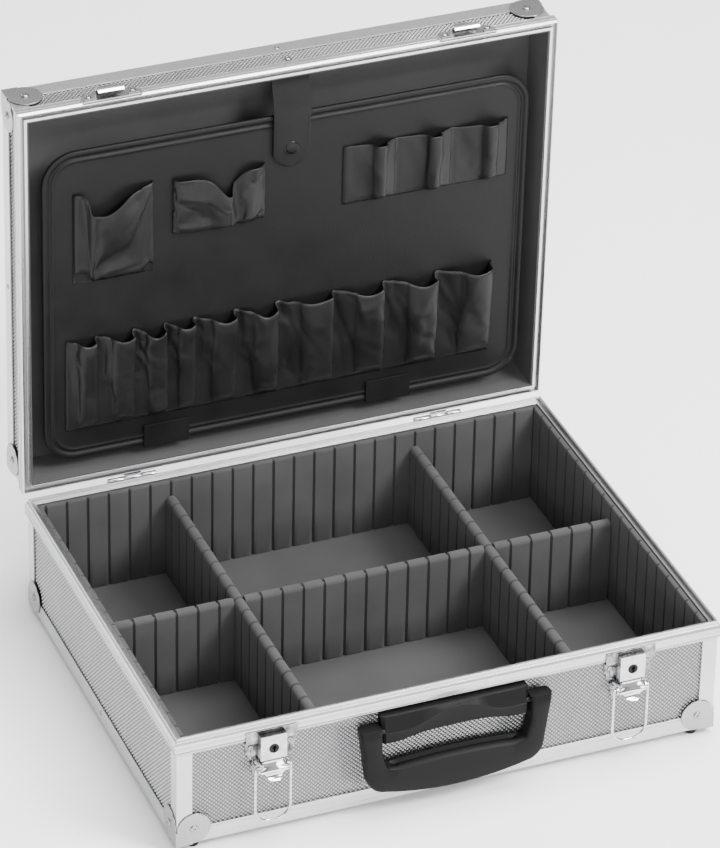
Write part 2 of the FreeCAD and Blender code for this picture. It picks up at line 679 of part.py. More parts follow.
def latch_plate(x, name):
    wings = new_body(name + "_wings")
    corners = [("-plate_foot_half", "plate_foot"), ("plate_foot_half", "plate_foot"),
               ("plate_half", f"{LIP_LOW} - 6"), ("plate_half", LIP_LOW),
               ("-plate_half", LIP_LOW), ("-plate_half", f"{LIP_LOW} - 6")]
    pad(wings, outline(wings, "XZ_Plane", [corners]), PLATE)
    bind(wings, {"Placement.Base.x": x, "Placement.Base.y": f"{PANEL_Y} - {PLATE} / 2"})
    wide = [f"{x} - plate_half", f"{x} + plate_half"]
    step = block(wide, [f"{FLANGE_Y} - {PLATE}", PANEL_Y], [f"{LIP_LOW} - {PLATE}", LIP_LOW])
    lip = block(wide, [f"{FLANGE_Y} - {PLATE}", FLANGE_Y], [f"{LIP_LOW} - {PLATE}", "plate_lip"])
    parts = [wings, step, lip]
    for sign in (-1, 1):
        lug = [f"{x} + {LUG_OFFSET * sign} - 0.6", f"{x} + {LUG_OFFSET * sign} + 0.6"]
        parts.append(block(lug, [LEVER_Y, PANEL_Y], ["lever_height - 2", "lever_height + 2"]))
        parts.append(rod("x", "2.7", (LEVER_Y, "lever_height"), lug))
    settle(cut(join(parts), [rod_at(x, "1.2", LEVER_Y, "lever_height", 10)]
               + shanks(latch_pins)), name)


def latch_box(x, name):
    wide = [f"{x} - box_half", f"{x} + box_half"]
    front = f"{FLANGE_Y} - box_front"
    low = block(wide, [front, f"{PANEL_Y} - {PLATE}"], ["box_low", f"{LIP_LOW} - {PLATE}"])
    high = block(wide, [front, f"{FLANGE_Y} - {PLATE}"], [f"{LIP_LOW} - {PLATE}", "box_top"])
    bore = rod("y", "plug_radius + 0.06", (x, "plug_height"), [f"{front} - 1", f"{PANEL_Y} - 3"])
    settle(cut(join([low, high]), [bore]), name)


def lock_plug(x, name):
    front = f"{FLANGE_Y} - box_front"
    plug = rod("y", "plug_radius", (x, "plug_height"), [f"{front} - 0.5", f"{PANEL_Y} - 3.3"])
    slot = block([f"{x} - 0.6", f"{x} + 0.6"], [f"{front} - 1", f"{front} + 2"],
                 ["plug_height - 3.6", "plug_height + 1.6"])
    eye = rod("y", "1.6", (x, "plug_height + 1"), [f"{front} - 1", f"{front} + 2"])
    settle(cut(plug, [slot, eye]), name)


def latch_lever(x, name):
    """Drawn hanging straight down from its pin, with the pin's axis at its own zero."""
    barrel = rod("x", "2.4", ("0", "0"), ["-8", "8"])
    web = block(["-8", "8"], ["-1.8", "-0.6"], ["-4.2", "0"])
    leaf = block(["-ear_half", "ear_half"], ["-1.8", "-0.6"], ["-10.5", "-3.6"])
    finger = block(["-7.5", "7.5"], ["-1.8", "-0.6"], ["-lever_drop", "-10"])
    curl = rod("x", "1.5", ("-2.1", "-lever_drop"), ["-7.5", "7.5"])
    parts = [barrel, web, leaf, finger, curl]
    holes = [rod("x", "1.26", ("0", "0"), ["-9", "9"])]
    for sign in (-1, 1):
        ear = ["ear_half - 1.2", "ear_half"] if sign > 0 else ["-ear_half", "-ear_half + 1.2"]
        parts.append(rod("x", "3", ("0", "-eye_drop"), ear))
        holes.append(rod("x", "wire_radius + 0.06", ("0", "-eye_drop"),
                         [f"{ear[0]} - 1", f"{ear[1]} + 1"]))
    settle(cut(join(parts), holes), name, at=(x, LEVER_Y, "lever_height"), tilt="-lever_tilt")


def bend(x, sign):
    """Quarter turn of wire at a lower corner of a bail."""
    item = doc.addObject("Part::Torus", "bend")
    start = 180 if sign < 0 else 270
    item.Placement.Rotation = FreeCAD.Rotation(VECTOR(1, 0, 0), 90).multiply(
        FreeCAD.Rotation(VECTOR(0, 0, 1), start))
    bind(item, {"Radius1": "bail_bend", "Radius2": "wire_radius", "Angle3": "90",
                "Placement.Base.x": x, "Placement.Base.z": "-bail_length + bail_bend"})
    return item


def bail(x, name):
    """Wire loop, drawn with the axis of its two bent-in ends at its own zero."""
    parts = [rod("x", "wire_radius", ("0", "-bail_length"),
                 ["-bail_half + bail_bend", "bail_half - bail_bend"])]
    for sign in (-1, 1):
        leg = f"{sign} * bail_half"
        end = [leg, f"{sign} * (ear_half - 1.8)"]
        parts.append(rod("z", "wire_radius", (leg, "0"), ["-bail_length + bail_bend", "0"]))
        parts.append(rod("x", "wire_radius", ("0", "0"), end if sign < 0 else end[::-1]))
        parts.append(bend(f"{sign} * (bail_half - bail_bend)", sign))
        ball = doc.addObject("Part::Sphere", "elbow")
        bind(ball, {"Radius": "wire_radius", "Placement.Base.x": leg})
        parts.append(ball)
    eye_y = f"{LEVER_Y} - eye_drop * sin(lever_tilt)"
    eye_z = "lever_height - eye_drop * cos(lever_tilt)"
    settle(join(parts), name, at=(x, eye_y, eye_z))


for sign, hand in ((-1, "left"), (1, "right")):
    centre = f"{sign} * latch_x"
    latch_plate(centre, f"latch_{hand}_plate")
    latch_box(centre, f"latch_{hand}_lock_box")
    lock_plug(centre, f"latch_{hand}_lock_plug")
    latch_lever(centre, f"latch_{hand}_lever")
    bail(centre, f"latch_{hand}_bail")
lever_pins = [rod_at(f"{sign} * latch_x", "1.2", LEVER_Y, "lever_height", 9.8)
              for sign in (-1, 1)]

# ---------------------------------------------------------------- strikes on the lid
STRIKE_LOW = "base_height + closing_gap + 0.7"
strikes = []
for sign in (-1, 1):
    x = f"{sign} * latch_x"
    plate = block([f"{x} - 24", f"{x} + 24"], [f"{FLANGE_Y} - 1.2", FLANGE_Y],
                  [STRIKE_LOW, "base_height + 12.5"])
    hump = rod("x", "5", (f"{FLANGE_Y} - 0.6", "base_height + 6.2"), [f"{x} - 10.5", f"{x} + 10.5"])
    lobe = block([f"{x} - 11", f"{x} + 11"], [f"{FLANGE_Y} - 8", FLANGE_Y],
                 [STRIKE_LOW, "base_height + 13"])
    strikes.append(cut(join([plate, common(hump, lobe)]), shanks(strike_pins)))
settle(collect(strikes, "strikes"), "lid_strikes", True)

# ---------------------------------------------------------------- hinges
PIN_Y = f"{side('y', 1, 0)} + pin_reach"
LEAF = [f"{side('y', 1, 0)} + 0.1", f"{side('y', 1, 0)} + 0.1 + leaf_sheet"]
KNUCKLE_FROM = "-hinge_half * 0.3"
KNUCKLE_TO = "hinge_half * 0.4"


def hinge_leaf(lid, rivets):
    """Base leaves carry the two outer knuckles, lid leaves the middle one."""
    leaves = []
    for sign in (-1, 1):
        x = f"{sign} * hinge_x"
        ranges = [[KNUCKLE_FROM, KNUCKLE_TO]] if lid else [
            ["-hinge_half", f"{KNUCKLE_FROM} - 0.3"], [f"{KNUCKLE_TO} + 0.3", "hinge_half"]]
        full = [f"{x} - hinge_half", f"{x} + hinge_half"]
        if lid:
            plate = ["base_height + 3", "base_height + leaf_drop - 3.5"]
            neck = ["base_height", "base_height + 3"]
        else:
            plate = ["base_height - leaf_drop + 3.5", "base_height - 3"]
            neck = ["base_height - 3", "base_height"]
        parts = [block(full, LEAF, plate)]
        for low, high in ranges:
            ends = [f"{x} + {low}", f"{x} + {high}"]
            parts.append(block(ends, LEAF, neck))
            parts.append(rod("x", "knuckle_radius", (PIN_Y, "base_height"), ends))
        bore = rod_at(x, "pin_radius + 0.05" if lid else "pin_radius", PIN_Y, "base_height",
                      "(hinge_half + 1)")
        leaves.append(cut(join(parts), [bore] + shanks(rivets)))
    return leaves


settle(collect(hinge_leaf(False, base_hinge_rivets), "leaves"), "hinge_base_leaves")
settle(collect(hinge_leaf(True, lid_hinge_rivets), "leaves"), "hinge_lid_leaves", True)
hinge_pins = [rod_at(f"{sign} * hinge_x", "pin_radius", PIN_Y, "base_height", "hinge_half")
              for sign in (-1, 1)]
settle(collect(hinge_pins + lever_pins + handle_pins, "pins"), "pivot_pins")

# ---------------------------------------------------------------- lid lining
LINING_TOP = f"{LID_TOP} - ({WALL_LOW}) - 0.1"
lining_outer = block(across("x", "lining_start"), across("y", "lining_start"),
                     ["base_height + 0.8", f"{LINING_TOP} - 1.9"])
lining_inner = block(across("x", "lining_end"), across("y", "lining_end"),
                     ["base_height - 1", f"{LINING_TOP} + 1"])
settle(cut(lining_outer, [lining_inner] + shanks([strap_pin])), "lid_wall_lining", True)
solo(block(across("x", "lining_start"), across("y", "lining_start"),
           [f"{LINING_TOP} - 1.8", LINING_TOP]), "lid_top_lining", lid=True)

# ---------------------------------------------------------------- tool panel


def rounded_sheet(name, inset, hole_inset, thick, radius):
    """Sheet with round corners, drawn about its own mid-plane."""
    body = new_body(name)

    def edges(gap):
        return rectangle([f"tool_left + {gap}", f"tool_right - {gap}"],
                         [f"tool_front + {gap}", f"tool_back - {gap}"])

    pad(body, outline(body, "XY_Plane", [edges(inset)]), thick)
    round_edges(body, f"{radius} - {inset}", lambda edge: along(edge, "z"))
    if hole_inset:
        inner = new_body(name + "_inside")
        pad(inner, outline(inner, "XY_Plane", [edges(hole_inset)]), f"{thick} + 2")
        round_edges(inner, f"{radius} - {hole_inset}", lambda edge: along(edge, "z"))
        return cut(body, [inner])
    return body


SNAP = ("strap_x", "snap_y")
stud = taper("z", "5", "3.6", SNAP, "tool_face - 0.1", "1.2", -1)
board = rounded_sheet("board", 1, 0, "tool_sheet", "tool_corner")
settle(board, "tool_panel_board", True, at=("0", "0", "tool_face + tool_sheet / 2"))
binding = rounded_sheet("binding", 0, "binding_width", "binding_sheet", "tool_corner")
settle(binding, "tool_panel_binding", True, at=("0", "0", "tool_face - binding_sheet / 2"))
solo(join([stud, rod("z", "5", SNAP, ["tool_face - 0.1", "tool_face"])]),
     "snap_stud", lid=True)

POCKET_SHEET = 1
POCKET_FLARE = 3
POCKET_SEAM = 0.2
UPPER_FRONT, UPPER_BACK, UPPER_REACH = -89, -36, 12
LOWER_FRONT, LOWER_BACK, LOWER_REACH = 43, 129, 14
SQUARE_POCKET = (-178, -112, -90, -8, 15)
PAIR_POCKETS = [(-95, -57, -88, -38, 12), (-56.5, -19, -88, -38, 12)]
LOOP_SEAMS = [(48, 88), (89, 118), (119, 150), (151, 189)]
LOWER_SEAMS = [-185, -160, -128, -101, -77, -42, -6, 42, 86, 132, 180]


def trough(name, left, right, y, tip, rear):
    """Bar along Y whose section narrows from the panel to the front of a pocket."""
    body = new_body(name)
    corners = [(left, rear), (right, rear), (right - POCKET_FLARE, tip), (left + POCKET_FLARE, tip)]
    pad(body, outline(body, "XZ_Plane", [corners]), y[1] - y[0])
    body.Placement.Base.y = (y[0] + y[1]) / 2
    return body


def pocket_row(name, sleeves):
    """A strip of sleeves: each is a trough that opens towards the lid's front edge."""
    solids = []
    for left, right, mouth, floor, reach in sleeves:
        left, right = left + POCKET_SEAM, right - POCKET_SEAM
        body = trough(name + "_form", left, right, (mouth, floor),
                      f"tool_face - {reach}", "tool_face")
        hollow = trough(name + "_hollow", left + POCKET_SHEET, right - POCKET_SHEET,
                        (mouth - POCKET_SHEET, floor - POCKET_SHEET),
                        f"tool_face - {reach} + {POCKET_SHEET}", "tool_face + 1")
        solids.append(cut(body, [hollow]))
    settle(collect(solids, "sleeves"), name, True)


pocket_row("pocket_square", [SQUARE_POCKET])
pocket_row("pockets_upper", PAIR_POCKETS + [(low, high, UPPER_FRONT, UPPER_BACK, UPPER_REACH)
                                            for low, high in LOOP_SEAMS])
pocket_row("pockets_lower", [(low, high, LOWER_FRONT, LOWER_BACK, LOWER_REACH)
                             for low, high in zip(LOWER_SEAMS, LOWER_SEAMS[1:])])

TAB_ENDS = ((-119.5, -81), (72.5, 111))
TAB_FACE = ["tool_face - 2.2", "tool_face - 0.95"]
TAB_REAR = ["tool_face + tool_sheet + 0.05", "tool_face + tool_sheet + 1.4"]
TAB_OUT = "tool_back + tab_turn"
tabs = []
for wide in TAB_ENDS:
    front = block(wide, ["tab_front", TAB_OUT], TAB_FACE)
    edge = block(wide, ["tool_back + 0.2", TAB_OUT], [TAB_FACE[0], TAB_REAR[1]])
    back = block(wide, ["tool_back - tab_back_reach", TAB_OUT], TAB_REAR)
    tabs.append(join([front, edge, back]))
settle(collect(tabs, "tabs"), "panel_hinge_tabs", True)

# ---------------------------------------------------------------- strap
STRAP_WIDE = ["strap_x - strap_half", "strap_x + strap_half"]
WALL_Y = side("y", -1, "lining_end")
flap = block(STRAP_WIDE, [WALL_Y, f"{WALL_Y} + 1.2"],
             ["base_height + strap_root - 3", "base_height + strap_root + 12"])
settle(cut(flap, shanks([strap_pin])), "strap_anchor", True)

strap = new_body("strap")
LAY = "tool_face - strap_lift"
KINK = "tool_front - strap_kink"
ROOT = side("y", -1, "lining_end + root_gap")
ROOT_HEIGHT = "base_height + strap_root"
strap_side = [(ROOT, f"{ROOT_HEIGHT} - strap_sheet / 2"), (KINK, LAY), ("strap_end", LAY),
              ("strap_end", f"{LAY} + strap_sheet"), (KINK, f"{LAY} + strap_sheet"),
              (ROOT, f"{ROOT_HEIGHT} + strap_sheet / 2")]
pad(strap, outline(strap, "YZ_Plane", [strap_side]), "2 * strap_half")
strap_tip = number("strap_end")
round_edges(strap, "strap_half - 1",
            lambda edge: along(edge, "z") and abs(edge.CenterOfMass.y - strap_tip) < 0.01)
strap.setExpression("Placement.Base.x", formula("strap_x"))
cap_hole = rod("z", "snap_hole", SNAP, [f"{LAY} - 1", f"{LAY} + 3"])
settle(cut(strap, [cap_hole]), "retaining_strap", True)
snap = join([taper("z", "6.2", "4.2", SNAP, LAY, "1.6", -1),
             rod("z", "snap_hole", SNAP, [LAY, f"{LAY} + strap_sheet"])])
solo(snap, "snap_cap", lid=True)

# ---------------------------------------------------------------- check and export
doc.recompute()
for item in doc.Objects:
    if "Invalid" in item.State or "Error" in item.State:
        raise RuntimeError(f"{item.Name} ({item.Label}) failed: {item.State}")
os.makedirs("parts", exist_ok=True)
for item in nodes:
    shape = item.Shape
    if shape.isNull() or not shape.isValid() or not shape.Solids:
        raise RuntimeError(f"{item.Label} has no valid solid")
    shape.exportStep(os.path.join("parts", item.Label + ".step"))
    print(f"{item.Label}: {len(shape.Solids)} solid(s), {shape.Volume:.0f} mm3")
print(len(nodes), "sub-parts")
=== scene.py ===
"""Looks of the open attache case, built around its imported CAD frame.

Pieces are drawn in case millimetres: X right, Y back, Z up, zero at the middle of the underside,
lid closed. CASE and LID then place them in the part's own frame, LID with the lid swung open.
"""
import json
import math

import bmesh
import bpy
import numpy as np
from mathutils import Matrix, Vector, noise


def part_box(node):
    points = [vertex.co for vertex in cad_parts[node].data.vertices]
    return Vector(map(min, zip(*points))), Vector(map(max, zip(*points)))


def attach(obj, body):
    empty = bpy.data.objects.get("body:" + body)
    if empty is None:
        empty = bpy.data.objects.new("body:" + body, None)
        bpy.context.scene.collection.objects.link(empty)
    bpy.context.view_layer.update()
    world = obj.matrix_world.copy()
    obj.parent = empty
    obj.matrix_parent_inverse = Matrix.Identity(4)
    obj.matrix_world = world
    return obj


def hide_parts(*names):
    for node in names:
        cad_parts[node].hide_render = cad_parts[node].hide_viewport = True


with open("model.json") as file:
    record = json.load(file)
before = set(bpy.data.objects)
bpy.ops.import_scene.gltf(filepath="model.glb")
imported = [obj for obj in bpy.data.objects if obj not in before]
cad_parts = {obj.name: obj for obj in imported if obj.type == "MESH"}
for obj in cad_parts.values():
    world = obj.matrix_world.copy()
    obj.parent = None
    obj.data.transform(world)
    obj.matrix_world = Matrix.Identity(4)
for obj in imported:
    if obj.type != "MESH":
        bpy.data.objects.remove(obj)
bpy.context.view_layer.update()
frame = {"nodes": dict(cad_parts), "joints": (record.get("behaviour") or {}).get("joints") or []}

# ---- the case's own coordinates
JOINTS = {joint["name"]: joint for joint in frame["joints"]}
RIM_LOW, RIM_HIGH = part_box("base_rim_frame")
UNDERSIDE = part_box("base_corner_caps")[0].z
ORIGIN = Vector(((RIM_LOW.x + RIM_HIGH.x) / 2, (RIM_LOW.y + RIM_HIGH.y) / 2, UNDERSIDE))
HINGE = Vector(JOINTS["lid_hinge"]["pos_m"])
OPEN = math.radians(JOINTS["lid_hinge"]["range_deg"][0])
CASE = Matrix.Translation(ORIGIN) @ Matrix.Scale(0.001, 4)
LID = (Matrix.Translation(HINGE) @ Matrix.Rotation(OPEN, 4, "X")
       @ Matrix.Translation(-HINGE) @ CASE)
X, Y = 0, 1
LATCH_X = {"left": -148, "right": 148}


def corners(node, place=CASE):
    """A CAD node's vertices in case millimetres."""
    back = place.inverted()
    return np.array([back @ v.co for v in frame["nodes"][node].data.vertices])


def extent(node, place=CASE):
    """Lowest and highest corner of a CAD node in case millimetres."""
    points = corners(node, place)
    return points.min(0), points.max(0)


def solids(node, place=CASE):
    """The vertices of each separate solid in a CAD node, as a list of arrays."""
    points = corners(node, place)
    keys = [tuple(row) for row in np.round(points, 2)]
    leader = {}
    for key in keys:
        leader.setdefault(key, key)

    def find(key):
        while leader[key] != key:
            leader[key] = leader[leader[key]]
            key = leader[key]
        return key

    for polygon in frame["nodes"][node].data.polygons:
        first = find(keys[polygon.vertices[0]])
        for index in polygon.vertices[1:]:
            leader[find(keys[index])] = first
    groups = {}
    for point, key in zip(points, keys):
        groups.setdefault(find(key), []).append(point)
    return [np.array(groups[key]) for key in sorted(groups)]


# ---- materials
def add(tree, kind, links=(), **values):
    """A shader node: links are (own input, source socket) pairs, values its settings."""
    node = tree.nodes.new("ShaderNode" + kind)
    for name, value in values.items():
        setattr(node, name, value)
    for socket, source in links:
        if isinstance(source, bpy.types.NodeSocket):
            tree.links.new(source, node.inputs[socket])
        else:
            node.inputs[socket].default_value = source
    return node


def finish(name, roughness, metallic=0.0, **sockets):
    """An empty material: its tree, its Principled shader and its object coordinates."""
    material = bpy.data.materials.new(name)
    material.use_nodes = True
    shader = material.node_tree.nodes["Principled BSDF"]
    shader.inputs["Roughness"].default_value = roughness
    shader.inputs["Metallic"].default_value = metallic
    for socket, value in sockets.items():
        shader.inputs[socket.replace("_", " ")].default_value = value
    place = add(material.node_tree, "TexCoord").outputs["Object"]
    return material, material.node_tree, shader, place


def speckle(tree, place, scale, detail=3.0, stretch=(1, 1, 1)):
    """Noise in metres of object space; stretch lengthens it along an axis."""
    mapping = add(tree, "Mapping", [("Vector", place), ("Scale", stretch)])
    return add(tree, "TexNoise", [("Vector", mapping.outputs[0]), ("Scale", scale),
                                  ("Detail", detail)]).outputs["Fac"]


def ramp(tree, factor, low, high, start=0.3, end=0.7):
    """Maps a noise to a range of colours or values."""
    node = add(tree, "ValToRGB", [("Fac", factor)])
    node.color_ramp.elements[0].position = start
    node.color_ramp.elements[1].position = end
    for element, level in zip(node.color_ramp.elements, (low, high)):
        element.color = (*level, 1) if isinstance(level, tuple) else (level,) * 3 + (1,)
    return node.outputs["Color"]


def bump(tree, shader, heights, strength, distance):
    """Small relief on a shader's surface, its distance in metres."""
    node = add(tree, "Bump", [("Height", heights), ("Strength", strength),
                              ("Distance", distance)])
    tree.links.new(node.outputs["Normal"], shader.inputs["Normal"])


def metal(name, dark, light, rough_low, rough_high, grain, painted_crease_shade=0.5, patch=14):
    """Metal with fine grain, and painted shade that darkens its creases and inner corners."""
    material, tree, shader, place = finish(name, rough_low, metallic=1.0)
    fine = speckle(tree, place, grain, 4)
    broad = speckle(tree, place, patch, 2)
    # Painted shade: ambient occlusion darkens the base colour in creases and inner corners,
    # standing in for the shade that falls there.
    light_reach = add(tree, "AmbientOcclusion", [("Distance", 0.005)], samples=6).outputs["AO"]
    shade_painted_colour = add(tree, "Mix", [("Factor", 1.0), (6, ramp(tree, broad, dark, light)),
                                  (7, ramp(tree, light_reach, 1 - painted_crease_shade, 1.0, 0.3, 0.95))],
                    data_type="RGBA", blend_type="MULTIPLY")
    tree.links.new(shade_painted_colour.outputs[2], shader.inputs["Base Color"])
    tree.links.new(ramp(tree, fine, rough_low, rough_high), shader.inputs["Roughness"])
    bump(tree, shader, fine, 0.06, 0.0002)
    return material


def cloth(name, dark, light, roughness, weave, depth, sheen=0.08):
    """Matt fabric or foam facing: uneven colour, fine nap and a soft sheen."""
    material, tree, shader, place = finish(name, roughness, Sheen_Weight=sheen,
                                           Sheen_Roughness=0.6, Specular_IOR_Level=0.12)
    broad = speckle(tree, place, 22, 4)
    fine = speckle(tree, place, weave, 3)
    mixed = add(tree, "Math", [(0, broad), (1, fine)], operation="ADD")
    halved = add(tree, "Math", [(0, mixed.outputs[0]), (1, 0.5)], operation="MULTIPLY")
    tree.links.new(ramp(tree, halved.outputs[0], dark, light, 0.4, 0.6),
                   shader.inputs["Base Color"])
    bump(tree, shader, fine, 0.35, depth)
    return material


def leather(name, dark, light, roughness, pebble, depth):
    """Leatherette: pebbled cells in a low sheen, worn a little lighter in patches."""
    material, tree, shader, place = finish(name, roughness, Specular_IOR_Level=0.19)
    cells = add(tree, "TexVoronoi", [("Vector", place), ("Scale", pebble)]).outputs["Distance"]
    broad = speckle(tree, place, 30, 4)
    fine = speckle(tree, place, pebble * 1.7, 3)
    grain = add(tree, "Math", [(0, cells), (1, fine)], operation="ADD")
    tree.links.new(ramp(tree, broad, dark, light), shader.inputs["Base Color"])
    tree.links.new(ramp(tree, broad, roughness - 0.06, roughness + 0.08),
                   shader.inputs["Roughness"])
    bump(tree, shader, grain.outputs[0], 0.3, depth)
    return material


def plastic(name, dark, light, roughness, grain, depth, shine=0.2):
    """Moulded plastic or rubber with a fine grain."""
    material, tree, shader, place = finish(name, roughness, Specular_IOR_Level=shine)
    fine = speckle(tree, place, grain, 3)
    tree.links.new(ramp(tree, speckle(tree, place, 18, 3), dark, light),
                   shader.inputs["Base Color"])
    bump(tree, shader, fine, 0.25, depth)
    return material


def embossing(name):
    """Embossed sheet: painted shade, keyed by the attribute "pit", darkens the bottoms of its small
    hollows.
    """
    material, tree, shader, place = finish(name, 0.3, metallic=1.0)
    pit = add(tree, "Attribute", attribute_name="pit").outputs["Fac"]
    shade = add(tree, "Math", [(0, pit), (1, 1.5)], operation="POWER").outputs[0]
    broad = ramp(tree, speckle(tree, place, 16, 3), (0.50, 0.50, 0.51), (0.58, 0.58, 0.59))
    # Painted shade: the pit corners are mixed towards near black.
    mixed = add(tree, "Mix", [("Factor", shade), (6, broad), (7, (0.05, 0.05, 0.052, 1))],
                data_type="RGBA")
    tree.links.new(mixed.outputs[2], shader.inputs["Base Color"])
    fine = speckle(tree, place, 900, 3)
    tree.links.new(ramp(tree, fine, 0.24, 0.38), shader.inputs["Roughness"])
    bump(tree, shader, fine, 0.05, 0.0002)
    return material


PROFILE = metal("satin_profile", (0.56, 0.56, 0.57), (0.65, 0.65, 0.66), 0.26, 0.36, 900)
EMBOSSED = embossing("embossed_sheet")
CAP = metal("nickel_cap", (0.32, 0.32, 0.33), (0.42, 0.42, 0.43), 0.24, 0.36, 800)
STEEL = metal("zinc_steel", (0.30, 0.30, 0.31), (0.42, 0.42, 0.43), 0.16, 0.26, 900)
# CHROME, the lever's chrome copy and PLATED pass 0.9, the strength of their painted crease shade.
CHROME = metal("bright_chrome", (0.50, 0.50, 0.51), (0.74, 0.74, 0.75), 0.05, 0.11, 600, 0.9, 160)
# A paler copy of the chrome: painted light, standing in for the light that the tilted lever face
# catches. The strike hooks use it too.
PAINTED_LIGHT_CHROME = metal("lever_chrome", (0.86, 0.86, 0.87), (0.93, 0.93, 0.94), 0.06, 0.12, 600, 0.9,
                    160)
PLATED = metal("latch_plating", (0.09, 0.09, 0.095), (0.46, 0.46, 0.47), 0.10, 0.20, 700, 0.9,
               150)
SNAP_METAL = metal("dark_snap", (0.016, 0.016, 0.017), (0.028, 0.028, 0.03), 0.3, 0.42, 800)
FOAM = cloth("foam_facing", (0.037, 0.037, 0.038), (0.050, 0.050, 0.051), 0.9, 1800, 0.0002)
FLOOR_FELT = cloth("floor_felt", (0.034, 0.033, 0.0335), (0.042, 0.041, 0.0415), 0.9, 2400,
                   0.0001)
LINING = cloth("lid_lining", (0.045, 0.045, 0.0455), (0.056, 0.056, 0.0565), 0.6, 2200, 0.0001)
LEATHER = leather("leatherette", (0.0045, 0.0045, 0.0049), (0.0074, 0.0074, 0.0079), 0.5, 1500,
                  0.0002)
POCKET = leather("pocket_leatherette", (0.008, 0.008, 0.0085), (0.013, 0.013, 0.0135), 0.4,
                 1500, 0.0002)
THREAD = cloth("thread", (0.003, 0.003, 0.003), (0.006, 0.006, 0.006), 0.8, 3000, 0.0001)
PLASTIC = plastic("moulded_plastic", (0.0032, 0.0032, 0.0034), (0.0048, 0.0048, 0.005), 0.5,
                  1600, 0.0001, 0.11)
RUBBER = plastic("foot_rubber", (0.006, 0.006, 0.006), (0.010, 0.010, 0.010), 0.8, 1200, 0.0002)
DARK = plastic("lock_dark", (0.003, 0.003, 0.003), (0.007, 0.007, 0.007), 0.45, 900, 0.0001)


# ---- pieces
def show(name, data):
    """A new object in the scene."""
    item = bpy.data.objects.new(name, data)
    bpy.context.scene.collection.objects.link(item)
    return item


def piece(name, points, faces, place, body, look, slot, replaces=(), sharp=35):
    """A mesh piece drawn in case millimetres, riding on a CAD body."""
    mesh = bpy.data.meshes.new(name)
    mesh.from_pydata([tuple(p) for p in points], [], faces)
    mesh.transform(place)
    made = bmesh.new()
    made.from_mesh(mesh)
    bmesh.ops.recalc_face_normals(made, faces=made.faces)
    made.to_mesh(mesh)
    made.free()
    mesh.shade_smooth()
    mesh.set_sharp_from_angle(angle=math.radians(sharp))
    mesh.materials.append(look)
    item = show(name, mesh)
    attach(item, body)
    if replaces:
        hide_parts(*replaces)
    return item


class Shape:
    """Points and faces gathered from several closed parts of one piece."""

    def __init__(self):
        self.points, self.faces = [], []

    def take(self, points, faces):
        start = len(self.points)
        self.points += [tuple(p) for p in points]
        self.faces += [tuple(index + start for index in face) for face in faces]

    def loft(self, sections, closed=False, capped=True):
        """Skins a list of equal rings of points."""
        count = len(sections[0])
        faces = []
        for row in range(len(sections) - (0 if closed else 1)):
            after = (row + 1) % len(sections)
            for index in range(count):
                beside = (index + 1) % count
                faces.append((row * count + index, row * count + beside,
                              after * count + beside, after * count + index))
        if capped and not closed:
            faces.append(tuple(reversed(range(count))))
            faces.append(tuple((len(sections) - 1) * count + index for index in range(count)))
        self.take([point for section in sections for point in section], faces)

    def piece(self, name, *args, **settings):
        return piece(name, self.points, self.faces, *args, **settings)


EDGE_SOFT = 0.00025


def dress(look, slot, *names):
    """Gives CAD nodes their material, and softens their edges a little."""
    for name in names:
        item = frame["nodes"][name]
        item.data.materials.clear()
        item.data.materials.append(look)
        weld = item.modifiers.new("weld", "WELD")
        weld.merge_threshold = 1e-5
        soften = item.modifiers.new("soften", "BEVEL")
        soften.width = EDGE_SOFT
        soften.segments = 2
        soften.limit_method = "ANGLE"
        soften.angle_limit = math.radians(40)
        soften.harden_normals = True


dress(PROFILE, "anodised_profile", "base_rim_frame", "lid_rim_frame", "base_bottom_frame",
      "lid_top_frame", "base_corner_posts", "lid_corner_posts")
dress(CAP, "plated_cap", "base_corner_caps", "lid_corner_caps")
dress(STEEL, "plated_steel", "case_screws", "hinge_base_leaves", "hinge_lid_leaves")
dress(DARK, "plated_steel", "pivot_pins")
for hand in ("left", "right"):
    dress(PLATED, "chrome", f"latch_{hand}_plate")
    dress(CHROME, "chrome", f"latch_{hand}_lock_box", f"latch_{hand}_bail")
    dress(DARK, "chrome", f"latch_{hand}_lock_plug")
dress(RUBBER, "black_rubber", "rubber_feet")
dress(FLOOR_FELT, "floor_felt", "floor_pad")
dress(LINING, "lid_lining", "lid_wall_lining", "lid_top_lining")
dress(SNAP_METAL, "snap_metal", "snap_stud")
dress(LEATHER, "black_leatherette", "panel_hinge_tabs", "strap_anchor")

# ---- embossed sheets
EMBOSS_STEP = 1.83
EMBOSS_DEPTH = 0.62
SHEETS = {"front": (1, -1), "back": (1, 1), "left": (0, -1), "right": (0, 1),
          "bottom": (2, -1), "top": (2, 1)}


